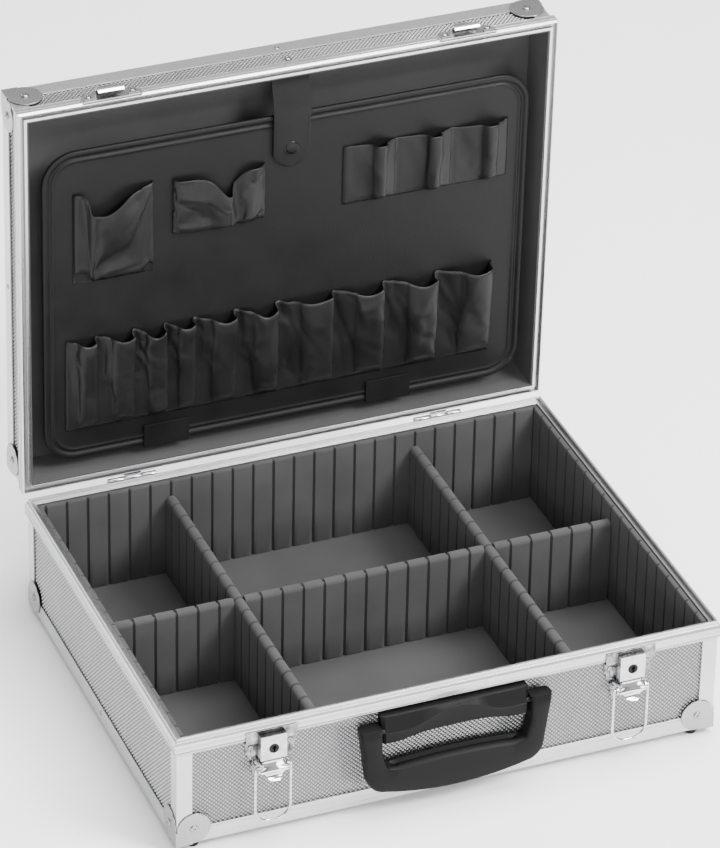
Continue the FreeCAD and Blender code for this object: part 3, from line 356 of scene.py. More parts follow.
def embossed(node, place, body):
    """A laminated panel whose outer face is a lattice of small pyramids."""
    low, high = extent(node, place)
    face, sign = SHEETS[node.split("_")[1]]
    across, up = [axis for axis in range(3) if axis != face]
    counts = [max(2, int((high[axis] - low[axis]) / EMBOSS_STEP)) for axis in (across, up)]
    outer, inner = (high[face], low[face]) if sign > 0 else (low[face], high[face])
    points, faces = [], []
    for row in range(counts[1] + 1):
        for column in range(counts[0] + 1):
            point = [0.0, 0.0, 0.0]
            point[across] = low[across] + (high[across] - low[across]) * column / counts[0]
            point[up] = low[up] + (high[up] - low[up]) * row / counts[1]
            point[face] = outer - sign * EMBOSS_DEPTH * ((row + column) % 2)
            points.append(point)
    wide = counts[0] + 1
    for row in range(counts[1]):
        for column in range(counts[0]):
            a = row * wide + column
            b, c, d = a + 1, a + wide + 1, a + wide
            if (row + column) % 2:
                faces += [(a, b, c), (a, c, d)]
            else:
                faces += [(a, b, d), (b, c, d)]
    rim = (list(range(counts[0]))
           + [row * wide + counts[0] for row in range(counts[1])]
           + [counts[1] * wide + column for column in range(counts[0], 0, -1)]
           + [row * wide for row in range(counts[1], 0, -1)])
    start = len(points)
    for index in rim:
        point = list(points[index])
        point[face] = inner
        points.append(point)
    for step, index in enumerate(rim):
        after = (step + 1) % len(rim)
        faces.append((index, rim[after], start + after, start + step))
    faces.append(tuple(range(start, start + len(rim))))
    item = piece(node + "_sheet", points, faces, place, body, EMBOSSED, "embossed_panel",
                 replaces=(node,), sharp=12)
    # Marks the pit corners that get painted shade in the embossed sheet's material.
    pits = item.data.attributes.new("pit", "FLOAT", "POINT")
    values = [(index // wide + index % wide) % 2 for index in range(start)]
    pits.data.foreach_set("value", values + [0] * (len(points) - start))


for wall in ("front", "back", "left", "right", "bottom"):
    embossed(f"base_{wall}_panel", CASE, "base")
for wall in ("front", "back", "left", "right", "top"):
    embossed(f"lid_{wall}_panel", LID, "lid")

# ---- rivets
RIVET_TURNS = 20
RIVET_PROFILE = [(1.0, 0.0), (1.0, 0.3), (0.94, 0.62), (0.8, 0.88), (0.58, 1.0), (0.42, 0.98),
                 (0.34, 0.8), (0.3, 0.35), (0.0, 0.3)]


def rivets(node, place, body):
    """A rolled head with a hollow middle for each solid rivet of a CAD node."""
    shape = Shape()
    for points in solids(node, place):
        low, high = points.min(0), points.max(0)
        size = high - low
        axis = int(np.argmax([abs(size[a] - np.delete(size, a).mean())
                              + (1e3 if abs(np.diff(np.delete(size, a))[0]) < 0.05 else 0)
                              for a in range(3)]))
        others = [a for a in range(3) if a != axis]
        centre = (low + high) / 2
        radius = size[others].max() / 2
        away = np.hypot(*(points[:, others] - centre[others]).T)
        seat = points[away > radius * 0.97][:, axis]
        sign = 1 if abs(seat.mean() - high[axis]) < abs(seat.mean() - low[axis]) else -1
        tip = high[axis] if sign > 0 else low[axis]
        rise = abs(tip - seat.mean())
        rings = []
        for wide, tall in RIVET_PROFILE:
            ring = []
            for step in range(RIVET_TURNS):
                angle = math.tau * step / RIVET_TURNS
                point = [0.0, 0.0, 0.0]
                point[axis] = tip - sign * rise * (1 - tall)
                point[others[0]] = centre[others[0]] + radius * wide * math.cos(angle)
                point[others[1]] = centre[others[1]] + radius * wide * math.sin(angle)
                ring.append(point)
            rings.append(ring)
        shape.loft(rings)
    shape.piece(node + "_heads", place, body, STEEL, "plated_steel", replaces=(node,))


rivets("base_rivets", CASE, "base")
rivets("lid_rivets", LID, "lid")

# ---- foam walls and dividers
GROOVE_PITCH = 17.7
GROOVE_HALF = 0.8
GROOVE_SOFT = 0.5
GROOVE_DEPTH = 2.3
CROWN = 0.12
FOAM_INSET = 2.4
FOOT_CUT = 0.6
TAB_HALF = 0.7
TAB_DROP = 6
STATIONS = (-1.35, -1.05, -0.85, -0.75, 0.0, 0.75, 0.85, 1.05, 1.35, 4.5, 8.85, 13.2)


def groove_depth(along_run, first):
    """How far a grooved face lies below its crowned ribs at a place along its run."""
    phase = (along_run - first + GROOVE_PITCH / 2) % GROOVE_PITCH - GROOVE_PITCH / 2
    away = abs(phase)
    if away <= GROOVE_HALF:
        return GROOVE_DEPTH
    if away < GROOVE_HALF + GROOVE_SOFT:
        part = (away - GROOVE_HALF) / GROOVE_SOFT
        return (GROOVE_DEPTH - CROWN) * (1 - math.sin(part * math.pi / 2)) ** 1.4 + CROWN
    return CROWN * (1 - 2 * away / GROOVE_PITCH) ** 2


def stations(low, high, first):
    """Places along a grooved run, close together at the grooves."""
    found = {round(low, 3), round(high, 3)}
    for index in range(-2, 30):
        for step in STATIONS:
            place = first + index * GROOVE_PITCH + step
            if low + 0.3 < place < high - 0.3:
                found.add(round(place, 3))
    return sorted(found)


def on_run(run, place, across, height):
    """A point on a run along X or Y, given along it, across it and upwards."""
    return (place, across, height) if run == X else (across, place, height)


def divider(node, run, first):
    """Soft divider: one section lofted along its run, drawn in where a groove goes round it."""
    low, high = extent(node)
    cross = 1 - run
    middle = (low[cross] + high[cross]) / 2
    half = (high[cross] - low[cross]) / 2
    start, end = low[run] + FOAM_INSET, high[run] - FOAM_INSET
    shape = Shape()
    sections = []
    for place in stations(start, end, first):
        depth = groove_depth(place, first)
        ends = min(place - start, end - place)
        depth += max(0, 0.6 - ends) * 0.6
        wide = half - depth
        top = high[2] - depth * 0.9
        radius = wide - 0.15
        sides = [low[2] + (top - radius - low[2]) * share for share in (0.33, 0.66)]
        outline = [(-wide + FOOT_CUT, low[2]), (-wide, low[2] + FOOT_CUT)]
        outline += [(-wide, height) for height in sides]
        for step in range(13):
            angle = math.pi * (1 - step / 12)
            outline.append((wide * math.cos(angle), top - radius + radius * math.sin(angle)))
        outline += [(wide, height) for height in reversed(sides)]
        outline += [(wide, low[2] + FOOT_CUT), (wide - FOOT_CUT, low[2])]
        section = []
        for across, height in outline:
            wave = noise.noise(Vector((place, height, middle)) * 0.035) * 0.22
            inward = abs(wave) * (1 if across > 0 else -1)
            section.append(on_run(run, place, middle + across - inward, height))
        sections.append(section)
    shape.loft(sections)
    shoulder = high[2] - TAB_DROP
    tab = [(-TAB_HALF, low[2] + 1), (TAB_HALF, low[2] + 1), (TAB_HALF, high[2] - 6.4),
           (0.3, shoulder), (-0.3, shoulder), (-TAB_HALF, high[2] - 6.4)]
    for ends in ((low[run], start + 1), (end - 1, high[run])):
        shape.loft([[on_run(run, place, middle + across, height) for across, height in tab]
                    for place in ends])
    made = shape.piece(node + "_foam", CASE, node, FOAM, "grey_foam", replaces=(node,), sharp=50)


def liner(node, run, sign, first):
    """Foam wall board with grooves down its inner face."""
    low, high = extent(node)
    cross = 1 - run
    back = high[cross] if sign > 0 else low[cross]
    thick = high[cross] - low[cross]
    shape = Shape()
    sections = []
    for place in stations(low[run], high[run], first):
        face = thick - groove_depth(place, first)
        outline = [(0, low[2]), (face - 0.4, low[2]), (face, low[2] + 0.4),
                   (face, high[2] * 0.4), (face, high[2] * 0.75), (face, high[2] - 1.4),
                   (face - 0.4, high[2] - 0.5), (face - 1.2, high[2]), (0, high[2])]
        sections.append([on_run(run, place, back - sign * max(inward, 0), height)
                         for inward, height in outline])
    shape.loft(sections)
    made = shape.piece(node + "_foam", CASE, "base", FOAM, "grey_foam", replaces=(node,), sharp=50)


GROOVE_FIRST = -211.2
CROSS_FIRST = 9 - 9 * GROOVE_PITCH
for hand in ("left", "right"):
    divider(f"divider_long_{hand}", Y, CROSS_FIRST)
for hand in ("left", "middle", "right"):
    divider(f"divider_cross_{hand}", X, GROOVE_FIRST)
liner("liner_front", X, -1, GROOVE_FIRST)
liner("liner_back", X, 1, GROOVE_FIRST)
liner("liner_left", Y, -1, CROSS_FIRST)
liner("liner_right", Y, 1, CROSS_FIRST)


# ---- curves and stitches
def smooth(value):
    """Eases from 0 to 1 with level ends."""
    value = min(max(value, 0.0), 1.0)
    return value * value * (3 - 2 * value)


def lengths(points):
    """Distance run at each point of a line."""
    return np.concatenate([[0], np.cumsum(np.linalg.norm(np.diff(points, axis=0), axis=1))])


def through(points, count):
    """Evenly spaced places on a smooth curve through some points."""
    points = np.array(points, float)
    padded = np.vstack([2 * points[0] - points[1], points, 2 * points[-1] - points[-2]])
    fine = []
    for a, b, c, d in zip(padded, padded[1:], padded[2:], padded[3:]):
        for t in np.linspace(0, 1, 16, endpoint=False):
            fine.append(0.5 * (2 * b + (c - a) * t + (2 * a - 5 * b + 4 * c - d) * t ** 2
                               + (3 * b - a - 3 * c + d) * t ** 3))
    fine.append(points[-1])
    fine = np.array(fine)
    run = lengths(fine)
    even = np.linspace(0, run[-1], count)
    return np.stack([np.interp(even, run, fine[:, axis]) for axis in range(points.shape[1])], 1)


def stitch_row(shape, points, pitch, length, half, rise):
    """Thread stitches laid along a line of (x, y, z) points, standing out towards -Z."""
    points = np.array(points, float)
    run = lengths(points)
    for index in range(int(run[-1] / pitch)):
        ends = [pitch * (index + 0.5) + side * length / 2 for side in (-1, 1)]
        first, last = (np.array([np.interp(end, run, points[:, axis]) for axis in range(3)])
                       for end in ends)
        along = last - first
        across = np.array([-along[1], along[0], 0.0])
        across *= half / np.linalg.norm(across)
        out = np.array([0, 0, -rise])
        rings = []
        for share in (0.2, 0.8):
            centre = first + along * share
            rings += [centre + across, centre + out, centre - across, centre - out * 0.6]
        faces = [(0, 1, 5, 4), (1, 2, 6, 5), (2, 3, 7, 6), (3, 0, 4, 7)]
        faces += [(8, 1, 0), (8, 2, 1), (8, 3, 2), (8, 0, 3)]
        faces += [(9, 4, 5), (9, 5, 6), (9, 6, 7), (9, 7, 4)]
        shape.take(rings + [first, last], faces)


# ---- profile beads
BEAD_RISE = 0.32
BEAD_HALF = 0.55


def beads(name, place, body, levels):
    """Half-round ribs that run all round a profile's outer face, mitred at the corners."""
    high = extent("base_rim_frame")[1]
    shape = Shape()
    for level in levels:
        sections = []
        for sign_x, sign_y in ((-1, -1), (1, -1), (1, 1), (-1, 1)):
            ring = []
            for out, rise in ((-0.3, -BEAD_HALF), (BEAD_RISE * 0.7, -BEAD_HALF * 0.7),
                              (BEAD_RISE, 0), (BEAD_RISE * 0.7, BEAD_HALF * 0.7),
                              (-0.3, BEAD_HALF)):
                ring.append(((high[0] + out) * sign_x, (high[1] + out) * sign_y, level + rise))
            sections.append(ring)
        shape.loft(sections, closed=True)
    shape.piece(name, place, body, PROFILE, "anodised_profile", sharp=50)


beads("base_rim_beads", CASE, "base", (94.6, 91.7, 87.4))
beads("lid_rim_beads", LID, "lid", (100.6, 103.5, 107.8))

# ---- tool panel cover
PANEL_CORNER = 28
PANEL_LOW, PANEL_HIGH = extent("tool_panel_binding", LID)
PANEL_FACE = extent("tool_panel_board", LID)[0][2]
PANEL_SECTION = [(1.6, 3.3), (0.5, 2.6), (0.0, 1.6), (0.1, 0.6), (0.7, -0.3), (1.7, -0.7),
                 (2.9, -0.75), (4.1, -0.4), (4.9, 0.3), (5.6, 0.8), (6.5, 0.95),
                 (7.3, 0.6), (7.9, -0.2), (8.6, -0.65), (9.4, -0.45), (10.2, 0.0), (11.5, 0.15),
                 (15, 0.1), (22, 0.05), (32, 0.0), (46, 0.0), (64, 0.0), (84, 0.0), (108, 0.0),
                 (132, 0.0)]
STITCH_INSET = 6.5
CORNER_POINTS = 15
SIDE_PIECES = 22


def panel_loop(inset):
    """Points of the panel's outline moved inwards, four sides with rounded corners."""
    low = PANEL_LOW[:2] + inset
    high = PANEL_HIGH[:2] - inset
    radius = max(PANEL_CORNER - inset, 1.5)
    loop = []
    corners_at = [((high[0], high[1]), 0), ((low[0], high[1]), 90), ((low[0], low[1]), 180),
                  ((high[0], low[1]), 270)]
    for (x, y), start in corners_at:
        centre = (x - radius if start in (0, 270) else x + radius,
                  y - radius if start in (0, 90) else y + radius)
        for step in range(CORNER_POINTS):
            angle = math.radians(start + 90 * step / (CORNER_POINTS - 1))
            loop.append((centre[0] + radius * math.cos(angle),
                         centre[1] + radius * math.sin(angle)))
    full = []
    for index, point in enumerate(loop):
        after = loop[(index + 1) % len(loop)]
        pieces = SIDE_PIECES if index % CORNER_POINTS == CORNER_POINTS - 1 else 1
        for step in range(pieces):
            share = step / pieces
            full.append((point[0] + (after[0] - point[0]) * share,
                         point[1] + (after[1] - point[1]) * share))
    return full


def panel_cover():
    """Leatherette round a stiff board: piped edge, stitched channel and a taut field."""
    shape = Shape()
    sections = []
    for inset, sink in PANEL_SECTION:
        ring = []
        for x, y in panel_loop(inset):
            turn = math.atan2(y - (PANEL_LOW[1] + PANEL_HIGH[1]) / 2,
                              x - (PANEL_LOW[0] + PANEL_HIGH[0]) / 2)
            wave = noise.noise(Vector((x, y, 3.0)) * 0.02) * 0.25 if inset > 10 else 0
            near_edge = math.exp(-((inset - 7.5) / 3.0) ** 2)
            pucker = near_edge * 0.16 * noise.noise(Vector((x * 0.35, y * 0.35, turn)))
            ring.append((x, y, PANEL_FACE + sink - 0.15 + wave + pucker))
        sections.append(ring)
    back = [(x, y, PANEL_FACE + 3.6) for x, y in panel_loop(2.4)]
    shape.loft([back] + sections)
    cover = shape.piece("tool_panel_cover", LID, "tool_panel", LEATHER, "black_leatherette",
                        replaces=("tool_panel_board", "tool_panel_binding"), sharp=60)
    thread = Shape()
    line = [(x, y, PANEL_FACE + 0.62) for x, y in panel_loop(STITCH_INSET)]
    stitch_row(thread, line + line[:1], 3.4, 2.5, 0.42, 0.42)
    thread.piece("tool_panel_edge_stitches", LID, "tool_panel", THREAD, "black_leatherette")
    return cover


COVER = panel_cover()

# ---- sewn pockets
SHEET = 0.9
ROWS = 30
LOOP = [(0, 0.02), (0.14, 0.05), (0.36, 0.16), (0.52, 0.34), (0.555, 0.66), (0.6, 0.94),
        (0.68, 1.0), (0.75, 0.94), (0.775, 0.7), (0.765, 0.46), (0.84, 0.26), (1, 0.02)]
BOX = [(0, 0.02), (0.08, 0.1), (0.3, 0.3), (0.42, 0.42), (0.46, 0.7), (0.55, 0.95), (0.75, 1.0),
       (0.92, 0.98), (0.985, 0.82), (0.95, 0.45), (0.94, 0.15), (1, 0.02)]
SQUARE = [(0, 0.02), (0.08, 0.06), (0.2, 0.1), (0.23, 0.4), (0.24, 0.8), (0.3, 1.0),
          (0.42, 0.96), (0.55, 0.9), (0.68, 0.75), (0.8, 0.5), (0.92, 0.22), (1, 0.02)]
POUCH = [(0, 0.02), (0.03, 0.4), (0.08, 0.75), (0.25, 0.9), (0.5, 1.0), (0.75, 0.96),
         (0.92, 0.9), (0.99, 0.85), (1, 0.8)]
CUFF = [(0, 0.8), (0.06, 0.6), (0.18, 0.35), (0.3, 0.5), (0.42, 0.85), (0.55, 1.0), (0.7, 0.8),
        (0.85, 0.45), (1, 0.02)]


def sleeve(low, high, mouth, bottom, reach, profile, foot, dip=0.0, dip_at=0.6, seed=0):
    """One sleeve's rows of (x, y, standing-out) from its mouth to its sewn bottom."""
    count = max(16, int((high - low) / 1.7) + 8)
    curve = through(profile, count)
    spread = np.random.default_rng(seed)
    creases = [(spread.uniform(0.15, 0.9), spread.uniform(0.2, 0.95), spread.uniform(-1.2, 1.2),
                spread.uniform(0.5, 1.1) * spread.choice([-1, 1]), spread.uniform(1.5, 3.5))
               for _ in range(5)]
    wide, tall = high - low, bottom - mouth
    rows = []
    for row in range(ROWS + 1):
        down = row / ROWS
        ease = smooth(down)
        row_points = []
        for across, out in curve:
            fall = math.exp(-((across - dip_at) / 0.28) ** 2) * smooth(out * 2)
            y = mouth + dip * fall + (bottom - mouth - dip * fall) * down
            lean = 1 + (foot - 1) * ease
            stand = reach * out * lean
            if down > 0.86:
                stand *= math.cos((down - 0.86) / 0.14 * math.pi / 2) ** 0.8
            held = math.sin(math.pi * across)
            for u, v, slope, height, width in creases:
                away = abs((across - u) * wide - slope * (down - v) * tall * 0.5) / width
                near = math.exp(-((down - v) * 2.6) ** 2)
                stand += held * near * height * 0.8 / (1 + away * away * 2) * min(1, out * 3)
            pull = noise.noise(Vector((across * 3, down * 2.2, seed))) * 0.05 * held
            x = low + wide * (across + pull * ease)
            row_points.append((x, y, min(max(stand, 0.12), reach + 0.6)))
        rows.append(row_points)
    return rows


SAG_FRAMES = 18
CLOTH_GAP = 0.0004
STIFFNESS = {"tension_stiffness": 40, "compression_stiffness": 25, "shear_stiffness": 15,
             "bending_stiffness": 4.0}


def relax(item, pinned, limp):
    """Lets a sewn sheet sag under its own weight with its stitched points held.

    The leatherette is stiff, so only part of the free sag, its limpness, is kept.
    """
    sewn_shape = [vertex.co.copy() for vertex in item.data.vertices]
    item.vertex_groups.new(name="stitched").add(pinned, 1.0, "REPLACE")
    stop = COVER.modifiers.new("stop", "COLLISION")
    COVER.collision.thickness_outer = CLOTH_GAP
    sag = item.modifiers.new("sag", "CLOTH")
    sag.settings.quality = 7
    sag.settings.mass = 0.02
    for setting, value in STIFFNESS.items():
        setattr(sag.settings, setting, value)
    sag.settings.vertex_group_mass = "stitched"
    sag.collision_settings.distance_min = CLOTH_GAP
    sag.point_cache.frame_end = SAG_FRAMES
    for step in range(1, SAG_FRAMES + 1):
        bpy.context.scene.frame_set(step)
    graph = bpy.context.evaluated_depsgraph_get()
    settled = bpy.data.meshes.new_from_object(item.evaluated_get(graph))
    item.modifiers.remove(sag)
    COVER.modifiers.remove(stop)
    for vertex, sewn_at in zip(settled.vertices, sewn_shape):
        vertex.co = sewn_at.lerp(vertex.co, limp)
    item.data = settled
    item.vertex_groups.clear()
    bpy.context.scene.frame_set(1)


def sewn(name, sleeves, node, limp, seams=()):
    """Sleeves side by side made from one sheet of leatherette, stitched down at their seams."""
    grids = [sleeve(**settings) for settings in sleeves]
    rows = [sum((grid[row][:-1] for grid in grids), []) + [grids[-1][row][-1]]
            for row in range(ROWS + 1)]
    wide = len(rows[0])
    points = [(x, y, PANEL_FACE - 0.25 - out) for row in rows for x, y, out in row]
    faces = [(a, a + 1, a + wide + 1, a + wide)
             for row in range(ROWS) for a in range(row * wide, row * wide + wide - 1)]
    item = piece(name, points, faces, LID, "tool_panel", POCKET, "black_leatherette",
                 replaces=(node,), sharp=180)
    columns, place = {0, wide - 1}, 0
    for grid, settings in zip(grids[:-1], sleeves[:-1]):
        place += len(grid[0]) - 1
        if settings["profile"][-1][1] < 0.1:
            columns.add(place)
    pinned = [row * wide + column for row in range(ROWS + 1) for column in columns]
    pinned += [ROWS * wide + column for column in range(wide)]
    relax(item, sorted(set(pinned)), limp)
    thick = item.modifiers.new("thickness", "SOLIDIFY")
    thick.thickness = SHEET / 1000
    thick.offset = 0
    thread = Shape()
    lines = list(seams) + [[(s["low"], s["mouth"] + 1), (s["low"], s["bottom"] - 1)]
                           for s in sleeves if s["profile"][0][1] < 0.1]
    lines.append([(sleeves[-1]["high"], sleeves[-1]["mouth"] + 1),
                  (sleeves[-1]["high"], sleeves[-1]["bottom"] - 1)])
    for line in lines:
        stitch_row(thread, [(x, y, PANEL_FACE - 1.05) for x, y in line], 2.6, 2.3, 0.32, 0.3)
    thread.piece(name + "_stitches", LID, "tool_panel", THREAD, "black_leatherette")


sewn("pocket_square_sheet",
     [dict(low=-178, high=-112, mouth=-90, bottom=-8, reach=14.4, profile=SQUARE, foot=0.75,
           dip=17, dip_at=0.3, seed=3)], "pocket_square", 0.7)
PAIR = dict(mouth=-88, bottom=-38, reach=11.4, dip=20)
sewn("pocket_pair_sheet",
     [dict(low=-95, high=-49, profile=POUCH, foot=0.8, dip_at=1.0, seed=8, **PAIR),
      dict(low=-49, high=-19, profile=CUFF, foot=1.0, dip_at=0.0, seed=12, **PAIR)],
     "pockets_upper", 0.65)
V_SEAMS = [[(96, -88), (86, -37)], [(96, -88), (103, -37)],
           [(145, -88), (136, -37)], [(145, -88), (151, -37)]]
LOOPS = dict(mouth=-89, bottom=-36, reach=11.4, profile=LOOP)
sewn("pocket_loops_sheet",
     [dict(low=48, high=92, foot=0.85, seed=21, **LOOPS),
      dict(low=92, high=140, foot=0.9, seed=25, **LOOPS),
      dict(low=140, high=189, foot=0.9, seed=28, **LOOPS)], "pockets_upper", 0.25, V_SEAMS)
LOWER_SEAMS = [-185, -160, -128, -101, -77, -42, -6, 42, 86, 132, 180]
sewn("pocket_row_sheet",
     [dict(low=low, high=high, mouth=43, bottom=129, reach=13.4, profile=BOX,
           foot=0.55 + 0.3 * ((index * 7) % 3) / 2, dip=3 + 2 * (index % 3), dip_at=0.75,
           seed=40 + index)
      for index, (low, high) in enumerate(zip(LOWER_SEAMS, LOWER_SEAMS[1:]))],
     "pockets_lower", 0.36)

# ---- retaining strap and snap
STRAP_LOW, STRAP_HIGH = extent("retaining_strap", LID)
STRAP_MIDDLE = (STRAP_LOW[0] + STRAP_HIGH[0]) / 2
STRAP_HALF = (STRAP_HIGH[0] - STRAP_LOW[0]) / 2
STRAP_TIP = 15.5
STRAP_PATH = [(STRAP_LOW[1] + 0.6, STRAP_HIGH[2] - 0.8), (-155, 111.3), (-145, 107.8),
              (-136, 105.4), (-126, 104.7), (-110, 104.9), (-98, 105.3),
              (STRAP_HIGH[1], STRAP_LOW[2] + 1.5)]


def strap():
    """Leatherette strap, bent over the panel's edge, its free end rounded."""
    centre = through(STRAP_PATH, 64)
    length = STRAP_HIGH[1]
    tip = length - STRAP_TIP * (1 - np.cos(np.linspace(math.pi / 2, 0.03, 20)))
    tip = np.column_stack((tip, np.interp(tip, centre[:, 0], centre[:, 1])))
    centre = np.vstack((centre[centre[:, 0] < length - STRAP_TIP - 0.5], tip))
    slope = np.gradient(centre, axis=0)
    slope /= np.linalg.norm(slope, axis=1)[:, None]
    shape = Shape()
    sections = []
    for (y, z), (run, rise) in zip(centre, slope):
        inward = max(0.0, 1 - (length - y) / STRAP_TIP)
        half = STRAP_HALF * math.sqrt(1 - min(inward, 0.999) ** 2)
        ring = []
        cup = 0.35 * smooth((y + 170) / 40)
        for across in np.linspace(-1, 1, 13):
            ring.append((across, 0.7 + (0 if abs(across) < 0.9 else -0.25)))
        ring = ring + [(across, -height) for across, height in reversed(ring)]
        sections.append([(STRAP_MIDDLE + across * half,
                          y + rise * height * 0.9,
                          z - run * height * 0.9 + cup * (across * across - 0.4))
                         for across, height in ring])
    shape.loft(sections)
    item = shape.piece("retaining_strap_sheet", LID, "strap", LEATHER, "black_leatherette",
                       replaces=("retaining_strap",), sharp=45)
    thread = Shape()
    for side_x in (-1, 1):
        line = [(STRAP_MIDDLE + side_x * (STRAP_HALF - 2.2), y, z - 0.75)
                for y, z in centre if -128 < y < STRAP_HIGH[1] - 13]
        stitch_row(thread, line, 3.0, 2.3, 0.28, 0.2)
    thread.piece("retaining_strap_stitches", LID, "strap", THREAD, "black_leatherette")


strap()
CAP_LOW, CAP_HIGH = extent("snap_cap", LID)
CAP_RADIUS = (CAP_HIGH[0] - CAP_LOW[0]) / 2 + 0.9
CAP_CENTRE = (CAP_LOW + CAP_HIGH) / 2
CAP_TURNS = 40
CAP_SECTION = [(1.0, 0.5), (1.0, 0.68), (0.97, 0.76), (0.9, 0.8), (0.83, 0.76), (0.79, 0.72),
               (0.76, 0.8), (0.7, 0.92), (0.55, 0.98), (0.28, 1.02), (0.03, 1.03)]


def snap_button():
    """Domed cap of the strap's snap, with a rolled edge."""
    tall = CAP_HIGH[2] - CAP_LOW[2]
    turns = [math.tau * step / CAP_TURNS for step in range(CAP_TURNS)]
    shape = Shape()
    shape.loft([[(CAP_CENTRE[0] + CAP_RADIUS * wide * math.cos(turn),
                  CAP_CENTRE[1] + CAP_RADIUS * wide * math.sin(turn),
                  CAP_HIGH[2] - tall * rise) for turn in turns] for wide, rise in CAP_SECTION])
    shape.piece("snap_cap_button", LID, "strap", SNAP_METAL, "snap_metal",
                replaces=("snap_cap",))


snap_button()

# ---- handle
BRACKET_LOW, BRACKET_HIGH = extent("handle_bracket")
GRIP_LOW, GRIP_HIGH = extent("handle_grip")
BRACKET_FOOT, FOOT_SAG = 65.5, 4.5
BRACKET_CREST, CREST_FALL = 83.3, 12.5
BRACKET_EDGE = (84.3, 84.2, 83.9)
INNER_RADIUS, OUTER_RADIUS = 5, 17


def bracket():
    """Moulded bracket whose front is cut away below an arched crest."""
    shape = Shape()
    sections = []
    wall = BRACKET_HIGH[1]
    reach = BRACKET_HIGH[1] - BRACKET_LOW[1]
    half = BRACKET_HIGH[0]
    for x in np.linspace(-half, half, 49):
        share = abs(x) / half
        low = BRACKET_FOOT - FOOT_SAG * smooth((share - 0.2) / 0.75)
        crest = BRACKET_CREST - CREST_FALL * smooth((share - 0.05) / 0.68)
        trim = max(0.0, share - 0.955) / 0.045
        out = reach - 0.9 * smooth((share - 0.8) / 0.2) - 2.2 * trim ** 2
        belly = 0.9 * (1 - smooth((share - 0.5) / 0.3))
        rim = [(0, BRACKET_EDGE[0]), (out * 0.50, BRACKET_EDGE[0]),
               (out * 0.62, BRACKET_EDGE[1]), (out * 0.68, BRACKET_EDGE[2]),
               (out - 0.4, crest + 0.4), (out, crest), (out - 0.1, crest - 0.6),
               (out - belly, (crest + low) / 2), (out - belly * 0.8, low + 1.6),
               (out - belly - 0.5, low + 0.5), (out - belly - 1.6, low), (0, low)]
        sections.append([(x, wall - y, z) for y, z in rim])
    shape.loft(sections)
    shape.piece("handle_bracket_moulding", CASE, "base", PLASTIC, "black_plastic",
                replaces=("handle_bracket",), sharp=22)


def half_outline(points, radius, counts):
    """Right half of an outline from the top of an arm to mid bar, its one corner rounded."""
    (x0, z0), (x1, z1), (xc, zc), (x2, z2) = points
    corner = Vector((xc, zc))
    arm = (Vector((x1, z1)) - corner).normalized()
    bar = (Vector((x2, z2)) - corner).normalized()
    angle = arm.angle(bar) / 2
    away = radius / math.tan(angle)
    centre = corner + (arm + bar).normalized() * radius / math.sin(angle)
    start, end = corner + arm * away, corner + bar * away
    line = [Vector((x0, z0)).lerp(Vector((x1, z1)), t)
            for t in np.linspace(0, 1, counts[0], endpoint=False)]
    line += [Vector((x1, z1)).lerp(start, t)
             for t in np.linspace(0, 1, counts[1], endpoint=False)]
    first, last = start - centre, end - centre
    sweep = first.angle(last)
    for t in np.linspace(0, 1, counts[2], endpoint=False):
        line.append(centre + first * (math.sin((1 - t) * sweep) / math.sin(sweep))
                    + last * (math.sin(t * sweep) / math.sin(sweep)))
    for t in np.linspace(0, 1, counts[3]):
        place = end.lerp(Vector((x2, z2)), t)
        place.y = end.y + (z2 - end.y) * (1 - (1 - t) ** 2)
        line.append(place)
    return line


def grip():
    """Moulded carrying grip: flat-faced U with soft edges and a ledge inside its bar."""
    counts = (6, 8, 12, 14)
    top = GRIP_HIGH[2] - 2.6
    inner = half_outline([(61.3, top), (61.3, 56), (57, 40), (0, 43)], INNER_RADIUS,
                         counts)
    outer = half_outline([(79.2, top), (76.6, 58), (71.6, 18.6), (0, GRIP_LOW[2])],
                         OUTER_RADIUS, counts)
    front, depth = GRIP_LOW[1], GRIP_HIGH[1] - GRIP_LOW[1]
    sections = []
    for inside, outside in zip(inner, outer):
        toward = outside - inside
        wide = toward.length
        toward.normalize()
        ledge = smooth((54 - inside.x) / 5) * (1 if inside.y < 50 else 0)
        end = smooth((inside.y - top + 5) / 5)
        slim = depth * 0.16 * end
        ring = [(3.4, slim), (wide * 0.5, slim), (wide - 4.2, 0.25 + slim),
                (wide - 1.7, 1.0 + slim), (wide - 0.35, 2.9 + slim), (wide, 5),
                (wide, depth - 4), (wide - 0.6, depth - 1.6), (wide - 2.4, depth - 0.2),
                (wide * 0.5, depth), (2.4, depth - 0.2), (0.5, depth - 1.8),
                (0.2 + 0.2 * ledge, depth - 3.4), (0.1 + 3.0 * ledge, depth - 5.2),
                (0.1 + 3.4 * ledge, depth - 7.0), (0.1 + 1.6 * ledge, depth - 8.4),
                (0.1 + 0.9 * ledge, depth - 9.6), (0.15 + 1.2 * ledge, 3.2),
                (0.9 + 1.2 * ledge, 1.3 + slim), (2.0 + 1.0 * ledge, 0.4 + slim)]
        sections.append([(inside.x + toward.x * along, front + deep,
                          inside.y + toward.y * along) for along, deep in ring])
    mirrored = [[(-x, y, z) for x, y, z in ring] for ring in reversed(sections[:-1])]
    shape = Shape()
    shape.loft(sections + mirrored)
    shape.piece("handle_grip_moulding", CASE, "handle_grip", PLASTIC, "black_plastic",
                replaces=("handle_grip",), sharp=32)


bracket()
grip()

